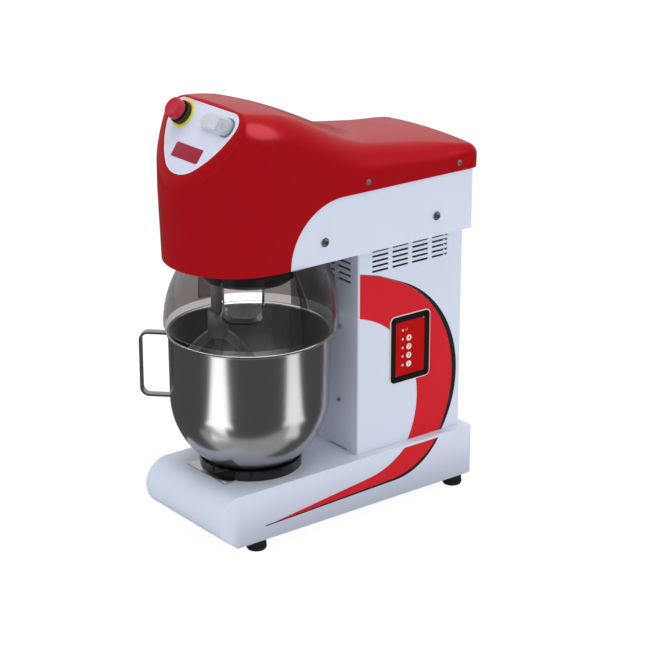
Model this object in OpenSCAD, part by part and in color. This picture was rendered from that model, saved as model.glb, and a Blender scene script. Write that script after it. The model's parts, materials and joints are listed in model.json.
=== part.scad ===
// Planetary stand mixer for a bakery bench: base, column, head, drive, bowl, tool and guard.
// Lengths in millimetres. The floor is z = 0, the nose of the head looks towards -Y.
// Modules are drawn about the bowl axis and moved by in_frame() to the middle of the outline.

/* [Base] */
// half of the width of the base casing
base_half_width = 98.3; // [80:0.1:130]
// reach of the round nose of the base ahead of the bowl axis
base_front = 127.5; // [110:0.5:132]
// reach of the underside of the base ahead of the bowl axis
base_toe = 96; // [80:1:110]
// reach of the base behind the bowl axis
base_rear = 357; // [300:1:420]
// underside of the base above the floor
base_bottom = 22; // [14:1:40]
// top face of the base above the floor
base_top = 103; // [80:1:140]
// radius of the round nose of the base
base_bullnose = 38; // [20:0.5:39]
// rounding of the front corners seen from above
base_corner = 4; // [3:0.5:15]
// thickness of the painted sheet casings
sheet = 2; // [1:0.5:4]

/* [Feet] */
// radius of a rubber foot at the floor
foot_radius = 15.5; // [10:0.5:25]
// distance of the feet from the middle plane
foot_x = 77; // [50:1:85]
// front feet ahead of the bowl axis
foot_front = 47; // [20:1:75]
// rear feet behind the bowl axis
foot_rear = 338; // [250:1:340]

/* [Bowl seat] */
// half of the width of the seat plate
plate_half_width = 48; // [40:1:70]
// reach of the seat plate ahead of the bowl axis
plate_reach = 83; // [78:1:88]
// reach of the seat plate behind the bowl axis
plate_rear = 58; // [45:1:60]
// thickness of the seat plate
plate_thick = 2; // [1:0.5:4]
// outer radius of the seat ring
seat_radius = 77; // [72:1:90]
// height of the seat ring above the base
seat_height = 15; // [12:0.5:15]
// number of bayonet lugs
lug_count = 3; // [2:1:4]
// turn from locked to free
bowl_turn = 30; // [20:1:40]

/* [Bowl] */
// outer radius of the round bottom of the bowl
bowl_radius = 119.5; // [100:0.5:130]
// height of the flat bottom above the seat plate
bowl_lift = 10.38; // [9:0.01:14]
// height of the rim
bowl_rim = 317; // [280:1:330]
// outward lean of the wall from centre to rim
bowl_lean = 0.8; // [0:0.1:3]
// thickness of the bowl wall
bowl_wall = 1.5; // [1:0.1:3]
// radius of the flat under the bowl
bowl_flat = 66; // [50:1:68]
// radius of the rolled rim
rim_bead = 2; // [1.5:0.1:4]

/* [Bowl handle] */
// direction of the handle
handle_angle = 225; // [180:1:300]
// outer reach of the handle from the bowl axis
handle_reach = 166; // [150:1:180]
// top of the upper strap
handle_top = 306; // [290:1:314]
// bottom of the lower strap
handle_bottom = 203; // [190:0.5:240]
// width of the strap
strap_width = 14; // [8:1:20]
// thickness of the strap
strap_thick = 3.6; // [2:0.1:6]
// outer bend of the strap
strap_bend = 14; // [8:1:25]

/* [Column] */
// half of the width of the column
column_half_width = 83.4; // [75:0.1:95]
// free space between the rear guard and the column
column_gap = 5.9; // [3:0.1:20]
// rear face of the column behind the bowl axis
column_rear = 342; // [300:1:350]
// rounding of the front edges of the column
column_edge = 3; // [2:1:15]
// height of a vent slot
vent_slot = 3.5; // [1.5:0.1:4]
// length of a side vent slot
side_vent_length = 31; // [20:1:33]
// distance between side vent columns
side_vent_pitch = 38.6; // [35:0.1:45]
// distance between rows of side vents
side_vent_step = 7.85; // [5:0.05:12]
// lowest row of side vents
side_vent_low = 391.7; // [330:0.1:395]
// distance between rows of front vents
front_vent_step = 9.8; // [6:0.1:12]
// lowest row of front vents
front_vent_low = 375.8; // [330:0.1:385]
// rows of vents
vent_rows = 5; // [2:1:5]

/* [Head arm] */
// half of the width of the head
head_half_width = 108; // [100:1:120]
// underside of the head
head_bottom = 434; // [433:1:440]
// upper edge of the white arm
arm_top = 528; // [515:1:540]
// rear face of the arm behind the bowl axis
arm_rear = 338.6; // [320:0.1:345]
// front of the arm edge ahead of the bowl axis
arm_front = 3; // [0:1:15]

/* [Head cover] */
// centre of the round nose ahead of the bowl axis
nose_setback = 22; // [10:1:40]
// outward lean of the cover walls
cover_lean = 3.5; // [0:0.1:6]
// rear face of the cover behind the bowl axis
cover_rear = 349.3; // [335:0.1:355]
// wall of the cover
cover_wall = 3; // [2:0.5:5]
// crest height where the rear deck starts
deck_height = 589.8; // [575:0.1:610]
// fall of the rear deck per millimetre
deck_fall = 0.13; // [0:0.01:0.25]
// height of the hump over the deck
hump_height = 48.1; // [20:0.1:60]
// fall from the crest to the shoulders
crown = 4.4; // [0:0.1:15]
// reach of the rounding from the top to the sides
shoulder_round = 38; // [20:1:45]
// reach of the rounding from the top to the rear
rear_round = 15; // [8:1:22]
// rounding around the control panel
panel_round = 13; // [8:1:20]

/* [Control panel] */
// lean of the panel from the floor plane
panel_tilt = 55; // [45:1:65]
// height of the panel datum
panel_height = 571; // [560:1:585]
// panel datum ahead of the bowl axis
panel_front = 128; // [120:1:132]
// sideways place of the stop button
stop_x = 47; // [40:0.5:52]
// place of the stop button up the panel
stop_s = 90.5; // [70:0.5:92]
// radius of the stop button
stop_radius = 15; // [12:0.5:18]
// travel of the stop button
stop_travel = 4; // [2:0.5:5]
// sideways place of the switch
switch_x = 37; // [34:0.5:40]
// place of the switch up the panel
switch_s = 91.5; // [70:0.5:95]
// tilt of the rocker to each side
rocker_tilt = 8; // [4:1:12]

/* [Keypad] */
// width of the keypad frame
keypad_width = 79; // [60:1:90]
// height of the keypad frame
keypad_height = 109; // [90:1:130]
// middle of the keypad behind the bowl axis
keypad_y = 240.4; // [230:0.1:260]
// middle of the keypad above the floor
keypad_z = 257; // [230:0.5:280]
// radius of a speed key
key_radius = 4.75; // [4:0.25:6]
// distance between speed keys
key_pitch = 14.1; // [12:0.1:18]
// travel of a speed key
key_travel = 0.5; // [0.3:0.1:0.7]

/* [Drive] */
// distance of the tool axis from the bowl axis
planet_offset = 46; // [40:1:48]
// direction of the tool axis at rest
planet_angle = 232; // [0:1:359]
// gear module
gear_module = 2; // [1:0.5:2]
// teeth of the planet pinion
pinion_teeth = 20; // [16:1:24]
// radius of the main shaft
main_shaft_radius = 12.5; // [10:0.5:15]
// radius of the tool shaft
tool_shaft_radius = 10; // [8:0.5:12]
// radius of the driven pulley
drive_pulley_radius = 75; // [60:1:85]
// radius of the motor pulley
motor_pulley_radius = 24; // [18:1:35]
// motor axis behind the bowl axis
motor_y = 240; // [220:1:242]
// radius of the motor
motor_radius = 55; // [40:1:58]
// underside of the planet carrier
carrier_bottom = 398; // [385:1:405]
// radius of the planet carrier
carrier_radius = 70; // [69:1:72]

/* [Tool] */
// free space between the tool and the bowl
tool_gap = 4.5; // [2:0.5:8]
// lowest point of the beater
beater_bottom = 123; // [120:1:140]
// top of the beater hub
beater_top = 346; // [330:1:355]
// height of the shoulders of the beater
beater_shoulder = 225; // [200:1:235]
// top of the beater frame
beater_neck = 320; // [308:1:330]
// half of the width of the beater at its top
beater_neck_half = 8; // [6:1:14]
// thickness of the beater
beater_thick = 9; // [6:1:14]
// width of the beater frame
beater_bar = 13; // [8:1:20]

/* [Guard] */
// lower edge of the guard
guard_bottom = 327; // [322:1:340]
// radius of the front guard at its lower edge
front_guard_radius = 126.5; // [124.5:0.5:128]
// curve of the front guard
front_guard_curve = 160; // [150:1:180]
// radius of the rear guard at its lower edge
rear_guard_radius = 133.5; // [132:0.5:136]
// curve of the rear guard
rear_guard_curve = 240; // [200:1:280]
// thickness of the guard
guard_wall = 2.5; // [1.5:0.5:4]
// reach of the front guard behind the side seams in degrees
guard_lap = 10; // [4:1:20]
// direction of the feed chute
chute_angle = -41; // [-70:1:-30]
// width of the feed chute
chute_width = 62; // [40:1:70]
// floor of the feed chute
chute_floor = 366; // [355:1:380]

/* [View] */
// piece to draw

/* [Hidden] */
$fn = 96;
// radial clearance of pieces fixed to each other
fit = 0.02;
// radial clearance of a running shaft
run = 0.05;
// free space between neighbouring casings
gap = 0.4;
// radial clearance of a screw in its hole
screw_gap = 0.3;
// overlap of a cutting solid
cut = 1;

white = [0.85, 0.87, 0.91];
red = [0.62, 0.02, 0.07];
black = [0.09, 0.09, 0.1];
steel = [0.72, 0.73, 0.75];
iron = [0.45, 0.46, 0.48];
clear = [0.5, 0.52, 0.55, 0.35];
yellow = [0.9, 0.78, 0.1];

nose_reach = nose_setback + head_half_width + cover_lean;
axis_y = (nose_reach - base_rear) / 2;

inner_base = base_top - sheet;
plate_top = base_top + plate_thick;
seat_top = base_top + seat_height;
seat_lip = 6.4;
seat_wall = 2.8;
lug_thick = 3.6;
lug_low = base_top + plate_thick + 2.4;
lug_top = lug_low + lug_thick;
seat_bore = seat_radius - seat_lip;
lug_reach = seat_radius - seat_wall;
bowl_bottom = plate_top + bowl_lift;
bowl_centre = bowl_bottom + sqrt(pow(bowl_radius, 2) - pow(bowl_flat, 2));
bead_sink = 1;
bead_centre = bowl_radius + bowl_lean + rim_bead - bead_sink;

column_front = rear_guard_radius + column_gap;

gear_wide = 14;
gear_gap = 1;
flange_thick = 9.2;
frame_thick = 11.6;
housing_rise = 46.2;
pulley_gap = 2;
pulley_wide = 25;
belt_thick = 4;
motor_length = 168.2;
ring_gear_low = head_bottom + sheet + gear_gap;
ring_gear_high = ring_gear_low + gear_wide;
frame_low = ring_gear_high + flange_thick;
frame_high = frame_low + frame_thick;
housing_top = frame_high + housing_rise;
pulley_low = housing_top + pulley_gap;
pulley_high = pulley_low + pulley_wide;
motor_low = frame_low - motor_length;

ring_teeth = pinion_teeth + 2 * planet_offset / gear_module;
panel_big = 138.7;
panel_big_x = 55.3;
panel_big_s = 124.6;
panel_toe = 53;
panel_toe_s = 58.9;
panel_joint_s = 18.5;
panel_top_s = 114.3;
panel_ear = 20;
panel_ear_x = 59.5;
panel_sink = 1.5;

rail_wide = 10.5;
rail_tall = 8;
rail_lip = 3;
rail_lip_thick = 2;
rail_radius = carrier_radius + 3.5 + rail_wide;
rail_low = head_bottom - rail_tall;
slider_low = rail_low + rail_lip_thick + gap;
slider_wide = 12;

post_half_width = 50;
post_deep = 31;
post_rear = 334;
post_front = post_rear - post_deep;
post_wall = 4;

// moves a piece from the bowl axis to the middle of the outline
module in_frame() {
    translate([0, axis_y, 0]) children();
}

// draws a piece on both sides of the middle plane
module both_sides() {
    children();
    mirror([1, 0, 0]) children();
}

// stands an outline drawn in (y, z) up along x from x = start
module along_x(start, length) {
    translate([start, 0, 0]) rotate([90, 0, 90]) linear_extrude(length) children();
}

// tube about the vertical axis
module tube(outer, inner, low, high) {
    translate([0, 0, low]) difference() {
        cylinder(r = outer, h = high - low);
        translate([0, 0, -cut]) cylinder(r = inner, h = high - low + 2 * cut);
    }
}

// upright solid cylinder between two heights
module rod(radius, low, high) {
    translate([0, 0, low]) cylinder(r = radius, h = high - low);
}

// rectangle with round corners about the origin
module round_square(width, height, radius) {
    square([width - 2 * radius, height], center = true);
    square([width, height - 2 * radius], center = true);
    for (x = [-1, 1], y = [-1, 1])
        translate([x * (width / 2 - radius), y * (height / 2 - radius)]) circle(radius);
}

// button head screw: the head stands on z = 0, the shank goes down
module button_screw(head, thread, length) {
    difference() {
        union() {
            cylinder(r1 = head, r2 = head * 0.62, h = head * 0.55);
            translate([0, 0, -length]) cylinder(r = thread, h = length);
        }
        translate([0, 0, head * 0.2]) cylinder(r = head * 0.38, h = head, $fn = 6);
    }
}

// screw through a side wall at x, pointing inwards
module side_screw(x, y, z, head, thread, length) {
    translate([x, y, z]) rotate([0, 90, 0]) button_screw(head, thread, length);
}

// outline of the base seen from above with its front at reach, drawn inwards by inset
module base_plan(inset, reach) {
    half = base_half_width - inset;
    front = inset - reach;
    corner = max(base_corner - inset, cut);
    translate([-half, front + corner]) square([2 * half, base_rear - inset - front - corner]);
    translate([corner - half, front]) square([2 * (half - corner), 2 * corner]);
    for (x = [-1, 1]) translate([x * (half - corner), front + corner]) circle(corner);
}

nose_rest = 1.5;
base_nose_steps = 26;
toe_lean = 1.6;

// outline of the base seen from the side, drawn inwards by inset: a round nose over a leaning foot
module base_profile(inset) {
    nose = min(base_bullnose, (base_top - base_bottom) / 2 - nose_rest);
    middle = [nose - base_front, base_top - nose];
    bend = nose - inset;
    top = base_top - inset;
    rear = base_rear - inset;
    toe = [toe_lean * inset - base_toe, base_bottom - (inset > 0 ? cut : 0)];
    away = toe - middle;
    turn = 360 + atan2(away[1], away[0]) - acos(bend / norm(away));
    arc = [for (i = [0 : base_nose_steps]) let (a = turn + (90 - turn) * i / base_nose_steps)
        middle + bend * [cos(a), sin(a)]];
    polygon(concat([toe], arc, [[rear, top], [rear, toe[1]]]));
}

// solid base block, drawn inwards by inset
module base_block(inset) {
    intersection() {
        along_x(inset - base_half_width, 2 * (base_half_width - inset)) base_profile(inset);
        linear_extrude(base_top) base_plan(inset, base_front);
    }
}

// outline of the column post
module post_plan(grow) {
    translate([-post_half_width - grow, post_front - grow])
        square([2 * (post_half_width + grow), post_rear - post_front + 2 * grow]);
}

seat_screw_place = 34;
seat_screw_thread = 2;
seat_screw_head = 4;

module base_shell() {
    color(white) in_frame() difference() {
        base_block(0);
        base_block(sheet);
        translate([0, 0, inner_base - cut]) linear_extrude(sheet + 2 * cut) post_plan(gap);
        for (x = [-1, 1], y = [-1, 1]) translate([x * seat_screw_place, y * seat_screw_place, 0])
            rod(seat_screw_thread + screw_gap, inner_base - cut, base_top + cut);
    }
}

foot_thread = 3;
foot_head = 6;
foot_head_tall = 4;
foot_nut_tall = 5;
foot_recess = 10;
foot_edge = 1.5;

// places a piece at the four feet
module at_feet() {
    for (x = [-1, 1], y = [-foot_front, foot_rear]) translate([x * foot_x, y, 0]) children();
}

module base_bottom_plate() {
    color(iron) in_frame() difference() {
        translate([0, 0, base_bottom]) linear_extrude(sheet)
            base_plan(sheet + gap, base_toe - (toe_lean - 1) * sheet);
        at_feet() rod(foot_thread + screw_gap, base_bottom - cut, base_bottom + sheet + cut);
    }
}

module feet() {
    color(black) in_frame() at_feet() difference() {
        rotate_extrude() polygon([[0, 0], [foot_radius - 3 * foot_edge, 0],
            [foot_radius - foot_edge, foot_edge], [foot_radius, 3 * foot_edge],
            [foot_radius - foot_edge, base_bottom], [0, base_bottom]]);
        rod(foot_head + screw_gap, -cut, foot_recess);
        rod(foot_thread + screw_gap, 0, base_bottom + cut);
    }
}

module foot_screws() {
    color(steel) in_frame() at_feet() {
        rod(foot_head, foot_recess - foot_head_tall, foot_recess);
        rod(foot_thread, foot_recess, base_bottom + sheet + foot_nut_tall - cut);
        translate([0, 0, base_bottom + sheet + fit]) difference() {
            cylinder(r = foot_head, h = foot_nut_tall, $fn = 6);
            translate([0, 0, -cut]) cylinder(r = foot_thread, h = foot_nut_tall + 2 * cut);
        }
    }
}

module seat_plate() {
    color(steel) in_frame() difference() {
        translate([-plate_half_width, -plate_reach, base_top])
            cube([2 * plate_half_width, plate_reach + plate_rear, plate_thick]);
        for (x = [-1, 1], y = [-1, 1]) translate([x * seat_screw_place, y * seat_screw_place, 0])
            rod(seat_screw_thread + screw_gap, base_top - cut, plate_top + cut);
    }
}

module seat_screws() {
    color(steel) in_frame() for (x = [-1, 1], y = [-1, 1])
        translate([x * seat_screw_place, y * seat_screw_place, plate_top + fit])
            button_screw(seat_screw_head, seat_screw_thread, plate_thick + sheet + seat_screw_head);
}

lug_width = 24;
lug_gap = 1;
base_ring_wide = 12.2;

// bayonet ring: a groove under a lip, with entry slots that the lugs reach after the turn
module bowl_seat_ring() {
    notch = plate_thick + gap / 2;
    color(black) in_frame() difference() {
        tube(seat_radius, seat_bore, base_top, seat_top);
        rod(lug_reach + gap, base_top - cut, lug_top + gap);
        translate([-plate_half_width - gap, -plate_reach, base_top - cut])
            cube([2 * (plate_half_width + gap), plate_reach + plate_rear + gap, notch + cut]);
        for (i = [0 : lug_count - 1]) rotate(i * 360 / lug_count + bowl_turn)
            translate([seat_bore - cut, -lug_width / 2 - lug_gap, base_top])
                cube([lug_reach + gap - seat_bore + cut, lug_width + 2 * lug_gap, seat_height + cut]);
    }
}

bowl_steps = 30;

// half outline of the bowl shape in (radius, height) up to top, drawn inwards by inset
module bowl_profile(inset, top) {
    round_part = bowl_radius - inset;
    flat_z = bowl_bottom + inset;
    start = asin((flat_z - bowl_centre) / round_part);
    arc = [for (i = [0 : bowl_steps]) let (a = start * (1 - i / bowl_steps))
        [round_part * cos(a), bowl_centre + round_part * sin(a)]];
    polygon(concat([[0, flat_z]], arc, [[round_part + bowl_lean, top], [0, top]]));
}

module bowl() {
    color(steel) in_frame() rotate_extrude($fn = 180) {
        difference() {
            bowl_profile(0, bowl_rim);
            bowl_profile(bowl_wall, bowl_rim + cut);
        }
        translate([bead_centre, bowl_rim - rim_bead]) circle(rim_bead, $fn = 32);
    }
}

module bowl_handle() {
    tall = handle_top - handle_bottom;
    deep = 2 * (handle_reach - bowl_radius + strap_bend);
    color(steel) in_frame() rotate(handle_angle) difference() {
        rotate([90, 0, 0]) translate([handle_reach - deep / 2, handle_bottom + tall / 2, -strap_width / 2])
            linear_extrude(strap_width) difference() {
                round_square(deep, tall, strap_bend);
                round_square(deep - 2 * strap_thick, tall - 2 * strap_thick, strap_bend - strap_thick);
            }
        rotate_extrude($fn = 180) {
            bowl_profile(-fit, bowl_rim + cut);
            translate([bead_centre, bowl_rim - rim_bead]) circle(rim_bead + fit, $fn = 32);
        }
    }
}

module bowl_base_ring() {
    outer = seat_bore - gap;
    color(steel) in_frame() {
        tube(outer, outer - base_ring_wide, plate_top + gap, bowl_bottom - fit);
        for (i = [0 : lug_count - 1]) rotate(i * 360 / lug_count) intersection() {
            tube(lug_reach, outer - sheet, lug_low, lug_top);
            translate([0, -lug_width / 2, 0]) cube([seat_radius, lug_width, seat_top]);
        }
    }
}

// outline of the column casing seen from above, drawn inwards by inset
module column_plan(inset) {
    half = column_half_width - inset;
    front = column_front + inset;
    bend = column_edge - inset;
    translate([-half, front + bend]) square([2 * half, column_rear - front - bend + (inset > 0 ? cut : 0)]);
    translate([bend - half, front]) square([2 * (half - bend), 2 * bend]);
    for (x = [-1, 1]) translate([x * (half - bend), front + bend]) circle(bend);
}

side_vent_y = column_front + 26.6;
side_vent_columns = 4;
front_vents = [[-65.6, 31.1], [-27.2, 54.4], [34.5, 31.1]];
column_low = base_top + gap / 2;
column_high = head_bottom - gap / 2;
front_screw_x = 38.2;
front_screw_z = [180.9, 300.3];
front_thread = 2.5;
front_head = 4.8;
foot_slot = [46, 1.6];
foot_slot_x = 12;

module column_shell() {
    color(white) in_frame() difference() {
        translate([0, 0, column_low]) linear_extrude(column_high - column_low) difference() {
            column_plan(0);
            column_plan(sheet);
        }
        for (i = [0 : side_vent_columns - 1], j = [0 : vent_rows - 1])
            translate([-base_half_width, side_vent_y + i * side_vent_pitch,
                side_vent_low + j * side_vent_step - vent_slot / 2])
                cube([2 * base_half_width, side_vent_length, vent_slot]);
        for (v = front_vents, j = [0 : vent_rows - 1])
            translate([v[0], column_front - cut, front_vent_low + j * front_vent_step - vent_slot / 2])
                cube([v[1], sheet + 2 * cut, vent_slot]);
        for (x = [-1, 1], z = front_screw_z) translate([x * front_screw_x, column_front, z])
            rotate([90, 0, 0]) cylinder(r = front_thread + screw_gap, h = 4 * sheet, center = true);
        both_sides() translate([foot_slot_x, column_front - cut, column_low - cut])
            cube([foot_slot[0], sheet + 2 * cut, foot_slot[1] + cut]);
    }
}

gland_z = 150;
gland_radius = 8;
gland_bore = 4.5;
gland_collar = 4;
gland_collar_thick = 5;
gland_nose = 13;
gland_tail = 6;
rear_panel_front = column_rear - sheet;
rear_vent_x = [-62, 10];
rear_vent_length = 52;
rear_vent_low = side_vent_low - 20;
rear_vent_rows = vent_rows + 3;
rear_screw_x = 70;
rear_screw_z = [125, 350];
rear_thread = 2;
rear_head = 4;

module column_rear_panel() {
    half = column_half_width - sheet - gap;
    color(white) in_frame() difference() {
        translate([-half, rear_panel_front, column_low + gap])
            cube([2 * half, sheet, column_high - column_low - 2 * gap]);
        translate([0, column_rear, gland_z]) rotate([90, 0, 0])
            cylinder(r = gland_radius + screw_gap, h = 4 * sheet, center = true);
        for (x = rear_vent_x, j = [0 : rear_vent_rows - 1])
            translate([x, rear_panel_front - cut, rear_vent_low + j * side_vent_step])
                cube([rear_vent_length, sheet + 2 * cut, vent_slot]);
        for (x = [-1, 1], z = rear_screw_z) translate([x * rear_screw_x, column_rear, z]) rotate([90, 0, 0])
            cylinder(r = rear_thread + screw_gap, h = 4 * sheet, center = true);
    }
}

module column_screws() {
    color(iron) in_frame() {
        for (x = [-1, 1], z = front_screw_z) translate([x * front_screw_x, column_front - fit, z])
            rotate([90, 0, 0]) button_screw(front_head, front_thread, 2 * front_head);
        for (x = [-1, 1], z = rear_screw_z) translate([x * rear_screw_x, column_rear + fit, z])
            rotate([-90, 0, 0]) button_screw(rear_head, rear_thread, 2 * rear_head);
    }
}

module column_post() {
    color(iron) in_frame() difference() {
        translate([0, 0, base_bottom + sheet]) linear_extrude(frame_low - base_bottom - sheet) post_plan(0);
        translate([0, 0, base_bottom]) linear_extrude(frame_low) post_plan(-post_wall);
    }
}

motor_shaft_radius = 9.5;
motor_high = frame_low - fit;
motor_core = motor_radius - 16;
motor_shell = 16;
fin_deep = 4;
fin_count = 16;
motor_flange = 14;

module motor_housing() {
    color(iron) in_frame() translate([0, motor_y, 0]) difference() {
        union() {
            rod(motor_radius - fin_deep, motor_low, motor_high);
            for (i = [0 : fin_count - 1]) rotate(i * 360 / fin_count)
                translate([0, -fin_deep / 2, motor_low + motor_flange + fin_deep])
                    cube([motor_radius, fin_deep, motor_high - motor_low - 2 * (motor_flange + fin_deep)]);
            rod(motor_radius, motor_low, motor_low + motor_flange);
            rod(motor_radius, motor_high - motor_flange, motor_high);
        }
        rod(motor_core + gear_gap, motor_low + motor_shell, motor_high - motor_shell);
        rod(motor_shaft_radius + run, motor_low + motor_shell / 2, motor_high + cut);
    }
}

module motor_rotor() {
    color(steel) in_frame() translate([0, motor_y, 0]) {
        rod(motor_core, motor_low + 1.5 * motor_shell, motor_high - 1.5 * motor_shell);
        rod(motor_shaft_radius, motor_low + motor_shell / 2 + cut, pulley_high + shaft_end);
    }
}

shaft_end = 4;
pulley_flange = 2;

module motor_pulley() {
    color(iron) in_frame() translate([0, motor_y, 0]) difference() {
        union() {
            rod(motor_pulley_radius, pulley_low, pulley_high);
            rod(motor_pulley_radius + belt_thick, pulley_low, pulley_low + pulley_flange);
            rod(motor_pulley_radius + belt_thick, pulley_high - pulley_flange, pulley_high);
        }
        rod(motor_shaft_radius + fit, pulley_low - cut, pulley_high + cut);
    }
}

loop_steps = 40;

// loop round both pulleys, grown by grow
module belt_loop(grow) {
    large = drive_pulley_radius + grow;
    small = motor_pulley_radius + grow;
    lean = asin((large - small) / motor_y);
    front = [for (i = [0 : loop_steps]) let (a = 180 - lean + (180 + 2 * lean) * i / loop_steps)
        [large * cos(a), large * sin(a)]];
    rear = [for (i = [0 : loop_steps]) let (a = lean + (180 - 2 * lean) * i / loop_steps)
        [small * cos(a), motor_y + small * sin(a)]];
    polygon(concat(front, rear));
}

module drive_belt() {
    color(black) in_frame() translate([0, 0, pulley_low + 2 * pulley_flange])
        linear_extrude(pulley_wide - 4 * pulley_flange) difference() {
            belt_loop(gap + belt_thick);
            belt_loop(gap);
        }
}

pulley_hub = 12;
pulley_rim = 9;
pulley_hole = 14;
pulley_holes = 5;

module drive_pulley() {
    hub = main_shaft_radius + pulley_hub;
    rim = drive_pulley_radius - pulley_rim;
    web_low = pulley_low + pulley_rim;
    web_high = pulley_high - pulley_rim;
    color(iron) in_frame() difference() {
        rotate_extrude() polygon([[main_shaft_radius + fit, pulley_low], [hub, pulley_low],
            [hub, web_low], [rim, web_low], [rim, pulley_low], [drive_pulley_radius, pulley_low],
            [drive_pulley_radius, pulley_high], [rim, pulley_high], [rim, web_high],
            [hub, web_high], [hub, pulley_high], [main_shaft_radius + fit, pulley_high]]);
        for (i = [0 : pulley_holes - 1]) rotate(i * 360 / pulley_holes) translate([(hub + rim) / 2, 0, 0])
            rod(pulley_hole, web_low - cut, web_high + cut);
    }
}

module main_shaft() {
    color(steel) in_frame() rod(main_shaft_radius, carrier_bottom + carrier_edge, pulley_high + shaft_end);
}

bearing_radius = 26;
bearing_wide = 15;
bearing_inset = 2;
bearing_levels = [frame_low + bearing_inset, housing_top - bearing_wide - bearing_inset];

module main_bearings() {
    color(steel) in_frame() for (z = bearing_levels)
        tube(bearing_radius, main_shaft_radius + run, z, z + bearing_wide);
}

housing_flange = ring_gear_high + fit;
housing_tube = bearing_radius + 8;
housing_shoulder = 5;
ring_rim = 13;

module bearing_housing() {
    flange = ring_pitch + ring_rim;
    color(iron) in_frame() difference() {
        union() {
            rod(flange, housing_flange, frame_low - fit);
            rod(housing_tube, housing_flange, housing_top);
        }
        rod(bearing_radius + fit, bearing_levels[0] - fit, housing_top + cut);
        rod(bearing_radius - housing_shoulder, housing_flange - cut, housing_top);
    }
}

// outline of the head seen from above, drawn inwards by inset, ending at rear
module head_plan(inset, rear) {
    translate([0, -nose_setback]) circle(head_half_width - inset, $fn = 180);
    translate([inset - head_half_width, -nose_setback])
        square([2 * (head_half_width - inset), rear + nose_setback]);
}

arm_screw_z = frame_low + 5.6;
arm_screw_places = [[57.7, arm_screw_z], [268.3, arm_screw_z]];
arm_thread = 3;
arm_head = 5.2;
arm_screw_length = 14;
washer_radius = 6.6;
washer_thick = 1.6;
frame_front = 62;
frame_bore_gap = 6;
frame_bore = arm_screw_length + 4 * cut;

module head_frame() {
    color(iron) in_frame() difference() {
        translate([0, 0, frame_low]) linear_extrude(frame_high - frame_low) intersection() {
            head_plan(sheet + gap, arm_rear - sheet - gap);
            translate([-head_half_width, -frame_front]) square([2 * head_half_width, frame_front + arm_rear]);
        }
        rod(housing_tube + gap, frame_low - cut, frame_high + cut);
        translate([0, motor_y, 0])
            rod(motor_shaft_radius + frame_bore_gap, frame_low - cut, frame_high + cut);
        for (p = arm_screw_places) translate([0, p[0], p[1]]) rotate([0, 90, 0])
            both_ends(head_half_width - frame_bore, arm_thread + screw_gap, 2 * frame_bore);
    }
}

// pair of blind holes along the local axis, from start outwards
module both_ends(start, radius, depth) {
    translate([0, 0, start]) cylinder(r = radius, h = depth);
    translate([0, 0, -start - depth]) cylinder(r = radius, h = depth);
}

floor_gap = 3;
floor_slot_half = 70;
floor_slot_front = column_front + 12;

module head_floor() {
    color(white) in_frame() difference() {
        translate([0, 0, head_bottom]) linear_extrude(sheet)
            head_plan(cover_wall + 2 * gap, arm_rear - sheet - gap);
        rod(carrier_radius + floor_gap, head_bottom - cut, head_bottom + sheet + cut);
        translate([-floor_slot_half, floor_slot_front, head_bottom - cut])
            cube([2 * floor_slot_half, post_rear + gap - floor_slot_front, sheet + 2 * cut]);
    }
}

arm_nose = arm_top - head_bottom;
arm_edge = arm_nose - gap;
arm_edge_y = arm_nose - arm_front;
cover_screw_places = [[135.2, 542.4], [308.9, 541.2]];
cover_thread = 2.5;
cover_screw_head = 4.5;
cover_screw_length = 11;
tab_half = 12;
tab_margin = 4.5;
tab_root = 30;
tab_seat = 20;

// side outline of the arm in (y, z)
module arm_side() {
    intersection() {
        translate([arm_edge_y, head_bottom]) circle(arm_edge, $fn = 180);
        translate([arm_edge_y - arm_nose, head_bottom]) square([arm_nose, arm_top - head_bottom - gap]);
    }
    translate([arm_edge_y - cut, head_bottom])
        square([arm_rear - arm_edge_y + cut, arm_top - head_bottom - gap]);
}

module arm_shell() {
    tab = head_half_width - sheet;
    color(white) in_frame() difference() {
        union() {
            along_x(-head_half_width, 2 * head_half_width) arm_side();
            for (p = cover_screw_places) translate([-tab, p[0] - tab_half, arm_top - tab_root])
                cube([2 * tab, 2 * tab_half, p[1] + tab_margin - arm_top + tab_root]);
        }
        translate([-tab, -nose_reach, head_bottom - cut])
            cube([2 * tab, nose_reach + arm_rear - sheet, arm_nose - gap + 2 * cut - tab_seat]);
        translate([sheet - tab, -nose_reach, head_bottom])
            cube([2 * (tab - sheet), nose_reach + arm_rear - sheet, arm_top]);
        for (p = arm_screw_places) translate([0, p[0], p[1]]) rotate([0, 90, 0])
            both_ends(head_half_width - 3 * sheet, arm_thread + screw_gap, 6 * sheet);
        for (p = cover_screw_places) translate([0, p[0], p[1]]) rotate([0, 90, 0])
            both_ends(head_half_width - 5 * sheet, cover_thread + screw_gap, 10 * sheet);
    }
}

module arm_screws() {
    color(steel) in_frame() both_sides() for (p = arm_screw_places) {
        side_screw(head_half_width + washer_thick + 2 * fit, p[0], p[1],
            arm_head, arm_thread, arm_screw_length);
        translate([head_half_width + fit, p[0], p[1]]) rotate([0, 90, 0]) difference() {
            cylinder(r = washer_radius, h = washer_thick);
            translate([0, 0, -cut]) cylinder(r = arm_thread, h = washer_thick + 2 * cut);
        }
    }
}

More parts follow.
